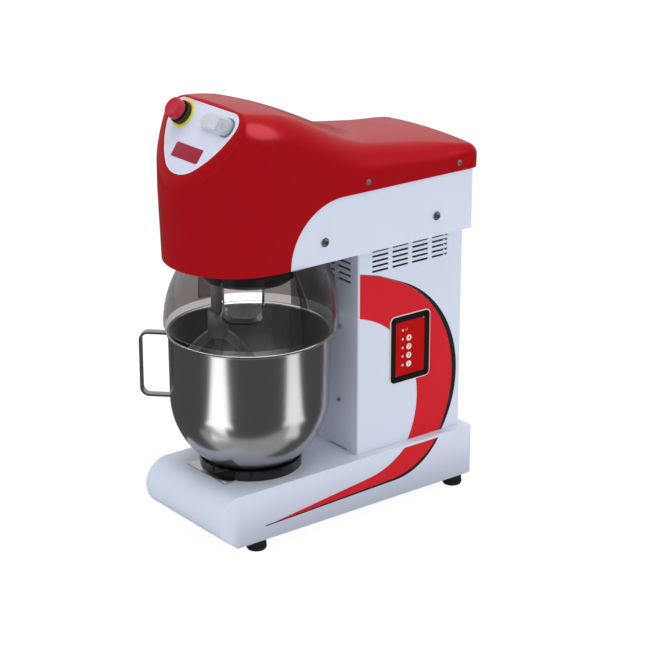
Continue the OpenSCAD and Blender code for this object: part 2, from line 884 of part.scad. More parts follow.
// closed plan outline of the cover as [x, y, normal x, normal y, lower edge]
nose_steps = 26;
edge_steps = 9;
deck_steps = 9;
corner_steps = 4;
rear_steps = 8;
cover_corner = 14;
function nose_edge() = [for (i = [0 : nose_steps]) let (a = 180 + 180 * i / nose_steps)
    [head_half_width * cos(a), head_half_width * sin(a) - nose_setback, cos(a), sin(a), head_bottom]];
function arm_gap_edge() = [for (i = [0 : edge_steps]) let (b = 90 * i / edge_steps)
    [head_half_width, arm_edge_y - arm_nose * cos(b), 1, 0, head_bottom + arm_nose * sin(b)]];
deck_end = cover_rear - cover_corner;
function deck_edge() = [for (i = [1 : deck_steps])
    [head_half_width, arm_edge_y + (deck_end - arm_edge_y) * i / deck_steps, 1, 0, arm_top]];
function corner_edge() = [for (i = [1 : corner_steps]) let (a = 90 * i / corner_steps)
    [head_half_width - cover_corner * (1 - cos(a)), deck_end + cover_corner * sin(a),
        cos(a), sin(a), arm_top]];
function side_edge() = concat(arm_gap_edge(), deck_edge(), corner_edge());
function rear_edge() = [for (i = [1 : rear_steps - 1])
    [(head_half_width - cover_corner) * (1 - 2 * i / rear_steps), cover_rear, 0, 1, arm_top]];
function flip(list) = [for (i = [len(list) - 1 : -1 : 0]) let (p = list[i])
    [-p[0], p[1], -p[2], p[3], p[4]]];
cover_edge = concat(nose_edge(), side_edge(), rear_edge(), flip(side_edge()));
edge_count = len(cover_edge);

// smooth step from 0 to 1 and smooth lower of two heights
function ease(t) = let (c = max(0, min(1, t))) c * c * (3 - 2 * c);
function soft_min(a, b, k) = let (h = max(0, min(1, 0.5 + (b - a) / (2 * k))))
    b + (a - b) * h - k * h * (1 - h);

// sizes of the top of the cover: sloping deck, hump over the nose, crown, panel plane in front
deck_start = 175;
hump_foot = 197;
hump_length = 208.4;
hump_foot_side = 49.7;
hump_length_side = 40;
crown_half = head_half_width - 8;
panel_blend = 6;
lean_rise = arm_top - head_bottom + 12;
shoulder_share = 0.6;
function body_height(x, y) =
    let (q = pow(x / crown_half, 2),
        foot = hump_foot - hump_foot_side * q,
        hump = hump_height * ease((foot - y) / (hump_length - hump_length_side * q)))
    deck_height - deck_fall * (y - deck_start) + hump - crown * q;
function plane_height(y) = panel_height + (y + panel_front) * tan(panel_tilt);

// reach and depth of the shoulder at a place of the outline, its depth kept to a share of the wall
function shoulder_reach(p) =
    p[3] > 0 ? rear_round + (shoulder_round - rear_round) * p[2] * p[2] : shoulder_round;
function shoulder_deep(p) = max(2 * cover_wall,
    min(shoulder_reach(p), shoulder_share * (body_height(p[0], p[1]) - arm_top)));

// fall of a rounding at a distance from the wall
function round_fall(reach, deep, d) = d < reach ? deep * (1 - sqrt(1 - pow(1 - d / reach, 2))) : 0;

// height of the top at a distance from the wall: body and panel plane, each with its own rounding
function top_height(p, x, y, d, sink) =
    let (bend = panel_round - sink / 2,
        body = round_fall(shoulder_reach(p) - sink / 2, shoulder_deep(p) - sink / 2, d) + sink,
        plane = round_fall(bend, bend, d) + sink / cos(panel_tilt))
    soft_min(body_height(x, y) - body, plane_height(y) - plane, panel_blend);

// outward lean at a height
function lean_at(z) = cover_lean * max(0, min(1, (z - head_bottom) / lean_rise));

// rings of the cover from the lower edge over the rounding to the crest
round_steps = 8;
crest_rings = 12;
crest_rest = 1.2;
spine_front = 30;
spine_rear = 285;
function wall_point(p, inset, t) =
    let (top = rim_height(p, inset), z = p[4] + (top - p[4]) * t, d = lean_at(z) - inset)
    [p[0] + p[2] * d, p[1] + p[3] * d, z];
function rim_height(p, inset) =
    let (d = cover_lean - inset)
    top_height(p, p[0] + p[2] * d, p[1] + p[3] * d, 0, inset);
function round_point(p, inset, a) =
    let (d = (shoulder_reach(p) - inset / 2) * (1 - cos(a)), out = cover_lean - inset - d,
        x = p[0] + p[2] * out, y = p[1] + p[3] * out)
    [x, y, top_height(p, x, y, d, inset)];
function crest_point(p, inset, f) =
    let (e = round_point(p, inset, 90), foot = max(-spine_front, min(spine_rear, e[1])),
        x = e[0] * f, y = foot + (e[1] - foot) * f)
    [x, y, top_height(p, x, y, shoulder_round, inset)];
function cover_ring(inset) = concat(
    [for (t = [0, 0.5]) [for (p = cover_edge) wall_point(p, inset, t)]],
    [for (i = [0 : round_steps]) [for (p = cover_edge) round_point(p, inset, 90 * i / round_steps)]],
    [for (i = [1 : crest_rings]) let (f = 1 - i / (crest_rings + crest_rest))
        [for (p = cover_edge) crest_point(p, inset, f)]]);
ring_count = 3 + round_steps + crest_rings;
skin_count = ring_count * edge_count;

// triangles between rings, over the crest and along the lower edge
function skin_faces(start, out) = [for (k = [0 : ring_count - 2], i = [0 : edge_count - 1], s = [0, 1])
    let (j = (i + 1) % edge_count, a = start + k * edge_count, b = a + edge_count,
        f = s == 0 ? [a + i, a + j, b + j] : [a + i, b + j, b + i])
    out ? [f[2], f[1], f[0]] : f];
half_count = floor(edge_count / 2);
function mate(i) = (nose_steps + edge_count - i) % edge_count;
function crest_faces(start, out) = let (a = start + (ring_count - 1) * edge_count)
    [for (i = [nose_steps / 2 : nose_steps / 2 + half_count - 1], s = [0, 1])
        let (j = i + 1, f = s == 0 ? [a + i % edge_count, a + j % edge_count, a + mate(j)]
            : [a + i % edge_count, a + mate(j), a + mate(i)])
        if (f[0] != f[1] && f[1] != f[2] && f[0] != f[2]) out ? [f[2], f[1], f[0]] : f];
function edge_faces() = [for (i = [0 : edge_count - 1], s = [0, 1]) let (j = (i + 1) % edge_count)
    s == 0 ? [i, skin_count + j, j] : [i, skin_count + i, skin_count + j]];

module cover_skin() {
    outer = [for (r = cover_ring(0), p = r) p];
    inner = [for (r = cover_ring(cover_wall), p = r) p];
    lower = [for (f = edge_faces()) [f[2], f[1], f[0]]];
    polyhedron(points = concat(outer, inner), faces = concat(skin_faces(0, true), crest_faces(0, true),
        skin_faces(skin_count, false), crest_faces(skin_count, false), lower));
}

// moves a piece onto the control panel: x across, y up the slope, z out of it
module on_panel() {
    translate([0, -panel_front, panel_height]) rotate([panel_tilt, 0, 0]) children();
}

// shield outline of the panel, grown by grow
module panel_outline(grow) {
    tall = panel_top_s - panel_joint_s + grow;
    intersection() {
        translate([-panel_big_x, panel_big_s]) circle(panel_big + grow, $fn = 180);
        translate([panel_big_x, panel_big_s]) circle(panel_big + grow, $fn = 180);
        union() {
            translate([0, panel_toe_s]) circle(panel_toe + grow);
            translate([-panel_big, panel_joint_s])
                square([2 * panel_big, panel_top_s - panel_ear - panel_joint_s]);
            translate([-panel_ear_x, panel_joint_s]) square([2 * panel_ear_x, tall]);
            for (x = [-1, 1]) translate([x * panel_ear_x, panel_top_s - panel_ear]) circle(panel_ear + grow);
        }
    }
}

stop_body = 11;
panel_deep = 20;
panel_face = 0.2;
switch_body = [50, 24];

// openings behind the panel for the stop button and the switch
module panel_openings(low, high, grow) {
    translate([-stop_x, stop_s, low]) cylinder(r = stop_body + grow, h = high - low);
    translate([switch_x - switch_body[0] / 2 - grow, switch_s - switch_body[1] / 2 - grow, low])
        cube([switch_body[0] + 2 * grow, switch_body[1] + 2 * grow, high - low]);
}

module head_cover() {
    color(red) in_frame() difference() {
        cover_skin();
        on_panel() translate([0, 0, -panel_sink]) linear_extrude(panel_deep) panel_outline(gap);
        on_panel() panel_openings(-panel_deep, panel_deep, screw_gap);
        for (p = cover_screw_places) translate([0, p[0], p[1]]) rotate([0, 90, 0])
            both_ends(head_half_width - 5 * sheet, cover_thread + screw_gap, 10 * sheet);
    }
}

module cover_screws() {
    color(iron) in_frame() both_sides() for (p = cover_screw_places)
        side_screw(head_half_width + cover_lean + fit, p[0], p[1],
            cover_screw_head, cover_thread, cover_screw_length);
}

module control_panel() {
    color(white) in_frame() on_panel() difference() {
        translate([0, 0, fit - panel_sink]) linear_extrude(panel_sink - panel_face) panel_outline(0);
        panel_openings(-panel_deep, panel_deep, screw_gap);
    }
}

stop_ring_thick = 1.4;
stop_ring_wide = 6.5;
stop_collar_wide = 2.2;
stop_collar_top = 5;
stop_stem_wide = 1.5;
stop_stem_radius = 7;
stop_head_low = stop_collar_top + stop_travel + stop_stem_wide;
stop_head_tall = 14;
stop_head_high = stop_head_low + stop_head_tall;
stop_face = 2.5;
stop_socket = stop_head_high - 8;
stop_deep = 26;

module stop_ring() {
    color(yellow) in_frame() on_panel() translate([-stop_x, stop_s, 0])
        tube(stop_radius + stop_ring_wide, stop_body + screw_gap, 0, stop_ring_thick);
}

module stop_collar() {
    color(black) in_frame() on_panel() translate([-stop_x, stop_s, 0]) difference() {
        union() {
            rod(stop_body, -stop_deep, stop_ring_thick + cut);
            rod(stop_radius + stop_collar_wide, stop_ring_thick + fit, stop_collar_top);
        }
        rod(stop_stem_radius + run, -panel_deep, stop_collar_top + cut);
    }
}

module stop_stem() {
    color(black) in_frame() on_panel() translate([-stop_x, stop_s, 0]) {
        rod(stop_stem_radius, -stop_deep / 2, stop_socket);
        rod(stop_radius - stop_stem_wide, stop_collar_top + stop_travel + 2 * run, stop_head_low);
    }
}

module stop_button() {
    face = stop_head_high - stop_face;
    color(red) in_frame() on_panel() translate([-stop_x, stop_s, 0]) difference() {
        rotate_extrude() polygon([[0, stop_head_low + gap], [stop_radius - 2 * gap, stop_head_low + gap],
            [stop_radius, stop_head_low + 5 * gap], [stop_radius, face],
            [stop_radius - 0.3 * stop_face, face + 0.7 * stop_face],
            [stop_radius - stop_face, stop_head_high], [0, stop_head_high]]);
        rod(stop_stem_radius + run, stop_head_low - cut, stop_socket + gap);
    }
}

rocker_size = [44, 18];
rocker_pivot = 0.2;
rocker_low = 2;
rocker_horn = 2.4;
rocker_dip = 1.6;
rocker_well = 8;
switch_rim = [72, 29];
switch_rim_bend = 13;
switch_rim_thick = 1.6;
switch_deep = 24;
cap_size = [68, 26];
cap_bend = 12;
cap_wall = 1.2;
cap_tall = 5.6;

module switch_frame() {
    color(iron) in_frame() on_panel() translate([switch_x, switch_s, 0]) difference() {
        union() {
            linear_extrude(switch_rim_thick) round_square(switch_rim[0], switch_rim[1], switch_rim_bend);
            translate([-switch_body[0] / 2, -switch_body[1] / 2, -switch_deep])
                cube([switch_body[0], switch_body[1], switch_deep + cut]);
        }
        translate([-rocker_size[0] / 2 - cut, (-rocker_size[1] - cut) / 2, rocker_pivot - rocker_well])
            cube([rocker_size[0] + 2 * cut, rocker_size[1] + cut, panel_deep]);
    }
}

module switch_rocker() {
    half = rocker_size[0] / 2;
    side = [[-half, -rocker_low], [half, -rocker_low], [half, rocker_horn],
        [0, rocker_dip], [-half, rocker_horn]];
    color(black) in_frame() on_panel() translate([switch_x, switch_s, rocker_pivot])
        rotate([0, rocker_tilt, 0]) translate([0, rocker_size[1] / 2, 0]) rotate([90, 0, 0])
            linear_extrude(rocker_size[1]) polygon(side);
}

module switch_cap() {
    inner = [cap_size[0] - 2 * cap_wall, cap_size[1] - 2 * cap_wall];
    color(clear) in_frame() on_panel() translate([switch_x, switch_s, switch_rim_thick + fit]) difference() {
        linear_extrude(cap_tall) round_square(cap_size[0], cap_size[1], cap_bend);
        translate([0, 0, -cut]) linear_extrude(cap_tall - cap_wall + cut)
            round_square(inner[0], inner[1], cap_bend - cap_wall);
    }
}

// moves an outline drawn in (y, z) onto the side of the column, from low to high off its face
module on_column(low, high) {
    translate([column_half_width + low, keypad_y, keypad_z]) rotate([90, 0, 90])
        linear_extrude(high - low) children();
}

keypad_border = 11;
keypad_window = [keypad_width - 2 * keypad_border, keypad_height - 2 * keypad_border];
keypad_bend = 9;
window_bend = 5;
keypad_thick = 2;
keypad_face = 1.4;
key_count = 4;
key_rise = 0.4;
key_shift = [-2.6, -1.9 * key_pitch];

module keypad_frame() {
    color(black) in_frame() on_column(fit, keypad_thick) difference() {
        round_square(keypad_width, keypad_height, keypad_bend);
        round_square(keypad_window[0], keypad_window[1], window_bend);
    }
}

module keypad_field() {
    color(red) in_frame() on_column(fit, keypad_face) difference() {
        round_square(keypad_window[0] - gap, keypad_window[1] - gap, window_bend);
        for (i = [0 : key_count - 1]) translate([key_shift[0], key_shift[1] + i * key_pitch])
            circle(key_radius + screw_gap);
    }
}

module speed_key(i) {
    color(white) in_frame() on_column(key_travel + 2 * run, keypad_face + key_rise)
        translate([key_shift[0], key_shift[1] + i * key_pitch]) circle(key_radius);
}

module speed_key_1() {
    speed_key(0);
}

module speed_key_2() {
    speed_key(1);
}

module speed_key_3() {
    speed_key(2);
}

module speed_key_4() {
    speed_key(3);
}

board = [1.6, 70, 100];
board_gap = 14;
board_margin = 4;
stud_radius = 2.5;
board_relay = [12, 30, 28];
board_relay_at = [8, 60];
board_coil = [8, 18, 40];
board_coil_at = [44, 12];

module control_board() {
    low = [column_half_width - board_gap, keypad_y - board[1] / 2, keypad_z - board[2] / 2];
    stud = board_gap - sheet - board[0] + cut - fit;
    color([0.1, 0.35, 0.2]) in_frame() {
        translate(low) cube(board);
        translate(low + [-board_relay[0], board_relay_at[0], board_relay_at[1]])
            cube(board_relay + [cut, 0, 0]);
        translate(low + [-board_coil[0], board_coil_at[0], board_coil_at[1]]) cube(board_coil + [cut, 0, 0]);
        for (y = [board_margin, board[1] - board_margin], z = [board_margin, board[2] - board_margin])
            translate(low + [board[0] - cut, y, z]) rotate([0, 90, 0])
                cylinder(r = stud_radius, h = stud, $fn = 24);
    }
}

film = 0.4;
column_arc = [156.6, 198.9, 178.7];
column_line_arc = [140.6, 196.4, 186.3];
column_arc_inner = [102.9, 174.7, 153.5];
base_arc = [199.2, 155.9, 105.9];
base_line_arc = [189.9, 174.6, 121.2];
base_arc_inner = [135.6, 193, 126.7];
stripe_head = [139, 393.6];
stripe_bend = [178, 383.7];
stripe_join = 67;
stripe_tip = [-45, 43.5];
stripe_margin = 0.5;
stripe_side = 5;
stripe_low = 10;
stripe_top = 403.7;
stripe_inset = 4;
line_start = 0.8;
line_gap = 0.3;
base_line_start = 1.4;
base_inner_rise = 14;

// part of the column side that a stripe may cover, with or without the keypad
module column_field(keypad) {
    difference() {
        translate([column_front + column_edge + stripe_margin, column_low + stripe_margin])
            square([column_rear - column_front - column_edge - stripe_side + cut, stripe_top - column_low]);
        if (keypad) translate([keypad_y, keypad_z])
            round_square(keypad_width + gap, keypad_height + gap, keypad_bend);
    }
}

// area under the upper edge of the column stripe: a circle and the straighter start of the edge
module column_area(arc, lower) {
    foot = [arc[0] + arc[2] * cos(stripe_join), arc[1] + arc[2] * sin(stripe_join)];
    translate([arc[0], arc[1]]) circle(arc[2], $fn = 180);
    polygon([[arc[0], arc[1]], foot, stripe_bend - [0, lower], stripe_head - [0, lower],
        [stripe_head[0], arc[1]]]);
}

// black edge of the column stripe, growing downwards
module column_line() {
    intersection() {
        column_field(false);
        difference() {
            column_area(column_arc, 0);
            column_area(column_line_arc, line_start);
        }
    }
}

// red sweep of the column stripe
module column_sweep(keypad) {
    intersection() {
        column_field(keypad);
        difference() {
            column_area(column_line_arc - [0, 0, line_gap], line_start + line_gap);
            translate([column_arc_inner[0], column_arc_inner[1]]) circle(column_arc_inner[2], $fn = 180);
        }
    }
}

// area above the lower edge of the base stripe
module base_sweep_area(arc, rise, lift) {
    translate([arc[0], arc[1]]) circle(arc[2], $fn = 180);
    foot = [arc[0] + rise, arc[1] - sqrt(pow(arc[2], 2) - rise * rise)];
    polygon([stripe_tip + [0, lift], foot, [arc[0], arc[1]], [stripe_tip[0], arc[1]]]);
}

module base_field() {
    translate([stripe_tip[0], base_bottom + stripe_low])
        square([base_rear - stripe_tip[0] - stripe_side, base_top - base_bottom - stripe_low - stripe_inset]);
}

module base_sweep() {
    intersection() {
        base_field();
        difference() {
            base_sweep_area(base_line_arc - [0, 0, line_gap], 0, base_line_start + line_gap);
            base_sweep_area(base_arc_inner, base_inner_rise, 0);
        }
    }
}

// black lower edge of the base stripe, growing backwards
module base_line() {
    intersection() {
        base_field();
        difference() {
            base_sweep_area(base_arc, 0, 0);
            base_sweep_area(base_line_arc, 0, base_line_start);
        }
    }
}

module stripe_red() {
    color(red) in_frame() {
        along_x(column_half_width + fit, film) column_sweep(true);
        mirror([1, 0, 0]) along_x(column_half_width + fit, film) column_sweep(false);
        both_sides() along_x(base_half_width + fit, film) base_sweep();
    }
}

module stripe_black() {
    color(black) in_frame() both_sides() {
        along_x(column_half_width + fit, film) column_line();
        along_x(base_half_width + fit, film) base_line();
    }
}

// straight sided tooth outlines about the local origin, half widths negative for inward teeth
module teeth(count, root, tip, root_half, tip_half) {
    for (i = [0 : count - 1]) rotate(i * 360 / count)
        polygon([[root, -root_half], [tip, -tip_half], [tip, tip_half], [root, root_half]]);
}

ring_pitch = gear_module * ring_teeth / 2;
pinion_pitch = gear_module * pinion_teeth / 2;
tooth_foot = 1.3;
tooth_head = 0.85;
tooth_root = 0.95;
tooth_tip = 0.4;
tooth_sink = 0.6;

module ring_gear() {
    outer = ring_pitch + ring_rim;
    root = ring_pitch + tooth_foot * gear_module;
    tip = ring_pitch - tooth_head * gear_module;
    color(iron) in_frame() translate([0, 0, ring_gear_low]) linear_extrude(ring_gear_high - ring_gear_low) {
        difference() {
            circle(outer);
            circle(root);
        }
        rotate(planet_angle + 180 / ring_teeth)
            teeth(ring_teeth, root + tooth_sink, tip, -tooth_root * gear_module, -tooth_tip * gear_module);
    }
}

// moves a piece to the tool axis at rest, with the local x axis pointing outwards
module at_planet() {
    rotate(planet_angle) translate([planet_offset, 0, 0]) children();
}

module planet_pinion() {
    root = pinion_pitch - tooth_foot * gear_module;
    tip = pinion_pitch + tooth_head * gear_module;
    color(iron) in_frame() at_planet() translate([0, 0, ring_gear_low + gear_gap])
        linear_extrude(gear_wide - 2 * gear_gap) difference() {
            union() {
                circle(root);
                teeth(pinion_teeth, root - tooth_sink, tip,
                    tooth_root * gear_module, tooth_tip * gear_module);
            }
            circle(tool_shaft_radius + fit);
        }
}

planet_bearing_radius = 21;
planet_bearing_wide = 12;
planet_bearing_lip = 4;
planet_bearing_levels = [carrier_bottom + 3, carrier_bottom + 20];
carrier_top = head_bottom - gap;
carrier_edge = 6;

module planet_carrier() {
    color(black) in_frame() difference() {
        rotate_extrude() polygon([[0, carrier_bottom], [carrier_radius - carrier_edge, carrier_bottom],
            [carrier_radius, carrier_bottom + carrier_edge], [carrier_radius, carrier_top],
            [0, carrier_top]]);
        rod(main_shaft_radius + fit, carrier_bottom + carrier_edge - fit, carrier_top + cut);
        at_planet() {
            rod(planet_bearing_radius + fit, planet_bearing_levels[0] - fit, carrier_top + cut);
            rod(planet_bearing_radius - planet_bearing_lip, carrier_bottom - cut, carrier_top);
        }
    }
}

module planet_bearings() {
    color(steel) in_frame() at_planet() for (z = planet_bearing_levels)
        tube(planet_bearing_radius, tool_shaft_radius + run, z, z + planet_bearing_wide);
}

tool_shaft_low = beater_top - 26;
pin_level = beater_top - 5;
pin_radius = 2.9;
pin_length = 38;

module tool_shaft() {
    color(steel) in_frame() at_planet() difference() {
        rod(tool_shaft_radius, tool_shaft_low, ring_gear_high - gear_gap);
        translate([0, 0, pin_level]) rotate([90, 0, 0])
            cylinder(r = pin_radius + fit, h = pin_length, center = true, $fn = 32);
    }
}

module tool_pin() {
    color(steel) in_frame() at_planet() translate([0, 0, pin_level]) rotate([90, 0, 0])
        cylinder(r = pin_radius, h = pin_length, center = true, $fn = 32);
}

hub_wall = 5;
hub_tall = 40;
hub_radius = tool_shaft_radius + hub_wall;
hub_low = beater_top - hub_tall;
rung_wide = 10;
rungs = [beater_bottom + 55, beater_bottom + 109];

// half moon outline that keeps the free space to the bowl at every turn, drawn inwards by inset
module beater_outline(inset) {
    free = bowl_radius - bowl_wall - inset;
    shift = planet_offset + tool_gap;
    intersection() {
        translate([-shift, bowl_centre]) circle(free, $fn = 180);
        translate([shift, bowl_centre]) circle(free, $fn = 180);
        translate([-bowl_radius, beater_bottom + inset]) square([2 * bowl_radius, beater_top]);
        polygon([[-bowl_radius, beater_bottom], [bowl_radius, beater_bottom],
            [bowl_radius, beater_shoulder - inset], [beater_neck_half, beater_neck - inset],
            [-beater_neck_half, beater_neck - inset], [-bowl_radius, beater_shoulder - inset]]);
    }
}

module beater() {
    color([0.75, 0.76, 0.77]) in_frame() at_planet() difference() {
        union() {
            rotate([90, 0, 0]) translate([0, 0, -beater_thick / 2]) linear_extrude(beater_thick) {
                difference() {
                    beater_outline(0);
                    beater_outline(beater_bar);
                }
                translate([-beater_bar / 2, beater_bottom + cut])
                    square([beater_bar, hub_low - beater_bottom]);
                intersection() {
                    beater_outline(cut);
                    for (z = rungs) translate([-bowl_radius, z - rung_wide / 2])
                        square([2 * bowl_radius, rung_wide]);
                }
            }
            rod(hub_radius, hub_low, beater_top);
        }
        rod(tool_shaft_radius + fit, tool_shaft_low - gap, beater_top + cut);
        translate([-pin_radius - gap, -hub_radius - cut, pin_level - pin_radius - gap])
            cube([2 * (pin_radius + gap), 2 * (hub_radius + cut), beater_top]);
    }
}

module guard_rail() {
    color(black) in_frame() {
        tube(rail_radius, rail_radius - rail_wide, rail_low, head_bottom - fit);
        tube(rail_radius + rail_lip, rail_radius - cut, rail_low, rail_low + rail_lip_thick);
    }
}

// curved wall section of a guard in (radius, height), thick inwards
module guard_section(radius, curve, from_z, low, high) {
    intersection() {
        translate([radius - curve, from_z]) difference() {
            circle(curve, $fn = 180);
            circle(curve - guard_wall, $fn = 180);
        }
        translate([carrier_radius, low]) square([radius, high - low]);
    }
}

rear_guard_from = guard_bottom + 8;
front_guard_from = guard_bottom + 1;
chute_bend = 16;

module rear_guard() {
    color(clear) in_frame() rotate_extrude(angle = 180, $fn = 180)
        guard_section(rear_guard_radius, rear_guard_curve, rear_guard_from, guard_bottom, head_bottom - fit);
}

// upright outline of the feed chute, grown by grow
module chute_outline(grow, top) {
    half = chute_width / 2 + grow;
    low = chute_floor - grow;
    translate([-half, low + chute_bend]) square([2 * half, top - low - chute_bend]);
    translate([chute_bend - half, low]) square([2 * (half - chute_bend), 2 * chute_bend]);
    for (x = [-1, 1]) translate([x * (half - chute_bend), low + chute_bend]) circle(chute_bend);
}

// radial prism of an upright outline towards the feed chute
module chute_prism(grow, top) {
    rotate(chute_angle + 90) rotate([90, 0, 0])
        linear_extrude(front_guard_radius + chute_bend) chute_outline(grow, top);
}

chute_drop = 5;
chute_top = slider_low - chute_drop;
chute_depth = 28;

module front_guard() {
    color(clear) in_frame() difference() {
        rotate(180 - guard_lap) rotate_extrude(angle = 180 + 2 * guard_lap, $fn = 180)
            guard_section(front_guard_radius, front_guard_curve, front_guard_from,
                guard_bottom, slider_low - fit);
        chute_prism(fit, chute_top + fit);
    }
}

module guard_slider() {
    color(black) in_frame() tube(rail_radius + slider_wide, rail_radius + gap, slider_low, head_bottom - cut);
}

module feed_chute() {
    color(clear) in_frame() intersection() {
        difference() {
            chute_prism(0, chute_top);
            chute_prism(-guard_wall, chute_top + cut);
        }
        rotate_extrude($fn = 180) intersection() {
            translate([front_guard_radius - front_guard_curve, front_guard_from])
                circle(front_guard_curve, $fn = 180);
            translate([front_guard_radius - chute_depth, chute_floor - cut])
                square([chute_depth, slider_low - chute_floor]);
        }
    }
}

module cable_gland() {
    color(black) in_frame() translate([0, column_rear + fit, gland_z]) rotate([-90, 0, 0]) difference() {
        union() {
            cylinder(r = gland_radius + gland_collar, h = gland_collar_thick, $fn = 6);
            cylinder(r = gland_radius, h = gland_nose);
            translate([0, 0, -gland_tail]) cylinder(r = gland_radius, h = gland_tail + cut);
        }
        translate([0, 0, -gland_tail - cut]) cylinder(r = gland_bore, h = gland_tail + gland_nose + 2 * cut);
    }
}

base_shell();
base_bottom_plate();
feet();
foot_screws();
seat_plate();
bowl_seat_ring();
seat_screws();
bowl();
bowl_handle();
bowl_base_ring();
column_shell();
column_rear_panel();
column_screws();
column_post();
motor_housing();
motor_rotor();
motor_pulley();
drive_belt();
drive_pulley();
main_shaft();
main_bearings();
bearing_housing();
head_frame();
head_floor();
arm_shell();
arm_screws();
head_cover();
cover_screws();
control_panel();
stop_collar();
stop_ring();
stop_stem();
stop_button();
switch_frame();
switch_rocker();
switch_cap();
keypad_frame();
keypad_field();
speed_key_1();
speed_key_2();
speed_key_3();
speed_key_4();
control_board();
stripe_red();
stripe_black();
ring_gear();
planet_carrier();
planet_bearings();
planet_pinion();
tool_shaft();
tool_pin();
beater();
guard_rail();
rear_guard();
front_guard();
guard_slider();
feed_chute();
cable_gland();
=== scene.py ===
"""Looks of a bench planetary mixer: modelled shells, finishes, camera and studio light.

Sizes in the classes are millimetres about the upright bowl axis; meshes are written in metres.
"""

import json
import logging
import math
from dataclasses import dataclass
from enum import Enum
from typing import Any, Callable, Sequence

import bmesh
import bpy
import numpy as np
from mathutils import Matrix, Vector


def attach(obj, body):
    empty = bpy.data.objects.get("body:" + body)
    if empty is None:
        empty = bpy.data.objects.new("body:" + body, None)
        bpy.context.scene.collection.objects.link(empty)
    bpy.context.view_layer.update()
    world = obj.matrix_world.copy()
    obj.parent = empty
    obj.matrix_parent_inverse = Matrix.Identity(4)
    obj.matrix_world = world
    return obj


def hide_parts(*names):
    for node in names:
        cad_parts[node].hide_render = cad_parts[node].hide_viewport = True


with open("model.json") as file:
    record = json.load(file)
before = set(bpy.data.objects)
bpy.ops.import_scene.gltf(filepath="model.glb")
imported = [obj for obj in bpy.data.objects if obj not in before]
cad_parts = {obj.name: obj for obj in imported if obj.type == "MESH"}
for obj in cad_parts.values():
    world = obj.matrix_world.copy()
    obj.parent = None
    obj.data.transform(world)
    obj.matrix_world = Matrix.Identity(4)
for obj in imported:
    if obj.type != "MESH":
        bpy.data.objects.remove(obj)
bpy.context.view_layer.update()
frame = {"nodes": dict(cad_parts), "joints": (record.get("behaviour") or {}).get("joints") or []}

log = logging.getLogger("mixer")
MM = 0.001
Array = np.ndarray
Colour = tuple[float, float, float]


def joint(name: str) -> dict[str, Any]:
    """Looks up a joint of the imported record.

    Args:
        name: the joint's name.

    Returns:
        The joint's entry.
    """
    return next(j for j in frame["joints"] if j["name"] == name)


AXIS_Y = joint("planet_spin")["pos_m"][1] / MM


class Body(Enum):
    """Bodies of the frame that pieces ride on."""

    FRAME = "frame"
    BOWL = "bowl"
    STOP_HEAD = "stop_head"
    ROCKER = "rocker"
    KEY_1 = "key_1"
    KEY_2 = "key_2"
    KEY_3 = "key_3"
    KEY_4 = "key_4"


@dataclass(frozen=True)
class Place:
    """A working plane in the frame: an origin in millimetres and three unit axes."""

    origin: tuple[float, float, float]
    across: tuple[float, float, float] = (1.0, 0.0, 0.0)
    up: tuple[float, float, float] = (0.0, 1.0, 0.0)
    out: tuple[float, float, float] = (0.0, 0.0, 1.0)

    def put(self, local: Array) -> Array:
        """Carries local points into the frame: origin + across x + up y + out z.

        Args:
            local: points (..., 3) in millimetres.

        Returns:
            The same points in frame millimetres.
        """
        return np.asarray(self.origin) + local @ np.array([self.across, self.up, self.out])

    def moved(self, across: float, up: float, out: float = 0.0) -> "Place":
        """Gives the same plane with its origin shifted along its own axes."""
        origin = self.put(np.array([across, up, out]))
        return Place(tuple(origin), self.across, self.up, self.out)


PANEL_FRONT = 128.0
PANEL_HEIGHT = 571.0
PANEL_TILT = math.radians(55.0)
SIDE_FACE = 83.4
BOWL_AXIS = Place((0.0, AXIS_Y, 0.0))
PANEL = Place((0.0, AXIS_Y - PANEL_FRONT, PANEL_HEIGHT), (1.0, 0.0, 0.0),
              (0.0, math.cos(PANEL_TILT), math.sin(PANEL_TILT)),
              (0.0, -math.sin(PANEL_TILT), math.cos(PANEL_TILT)))
SIDE = Place((SIDE_FACE, AXIS_Y, 0.0), (0.0, 1.0, 0.0), (0.0, 0.0, 1.0), (1.0, 0.0, 0.0))


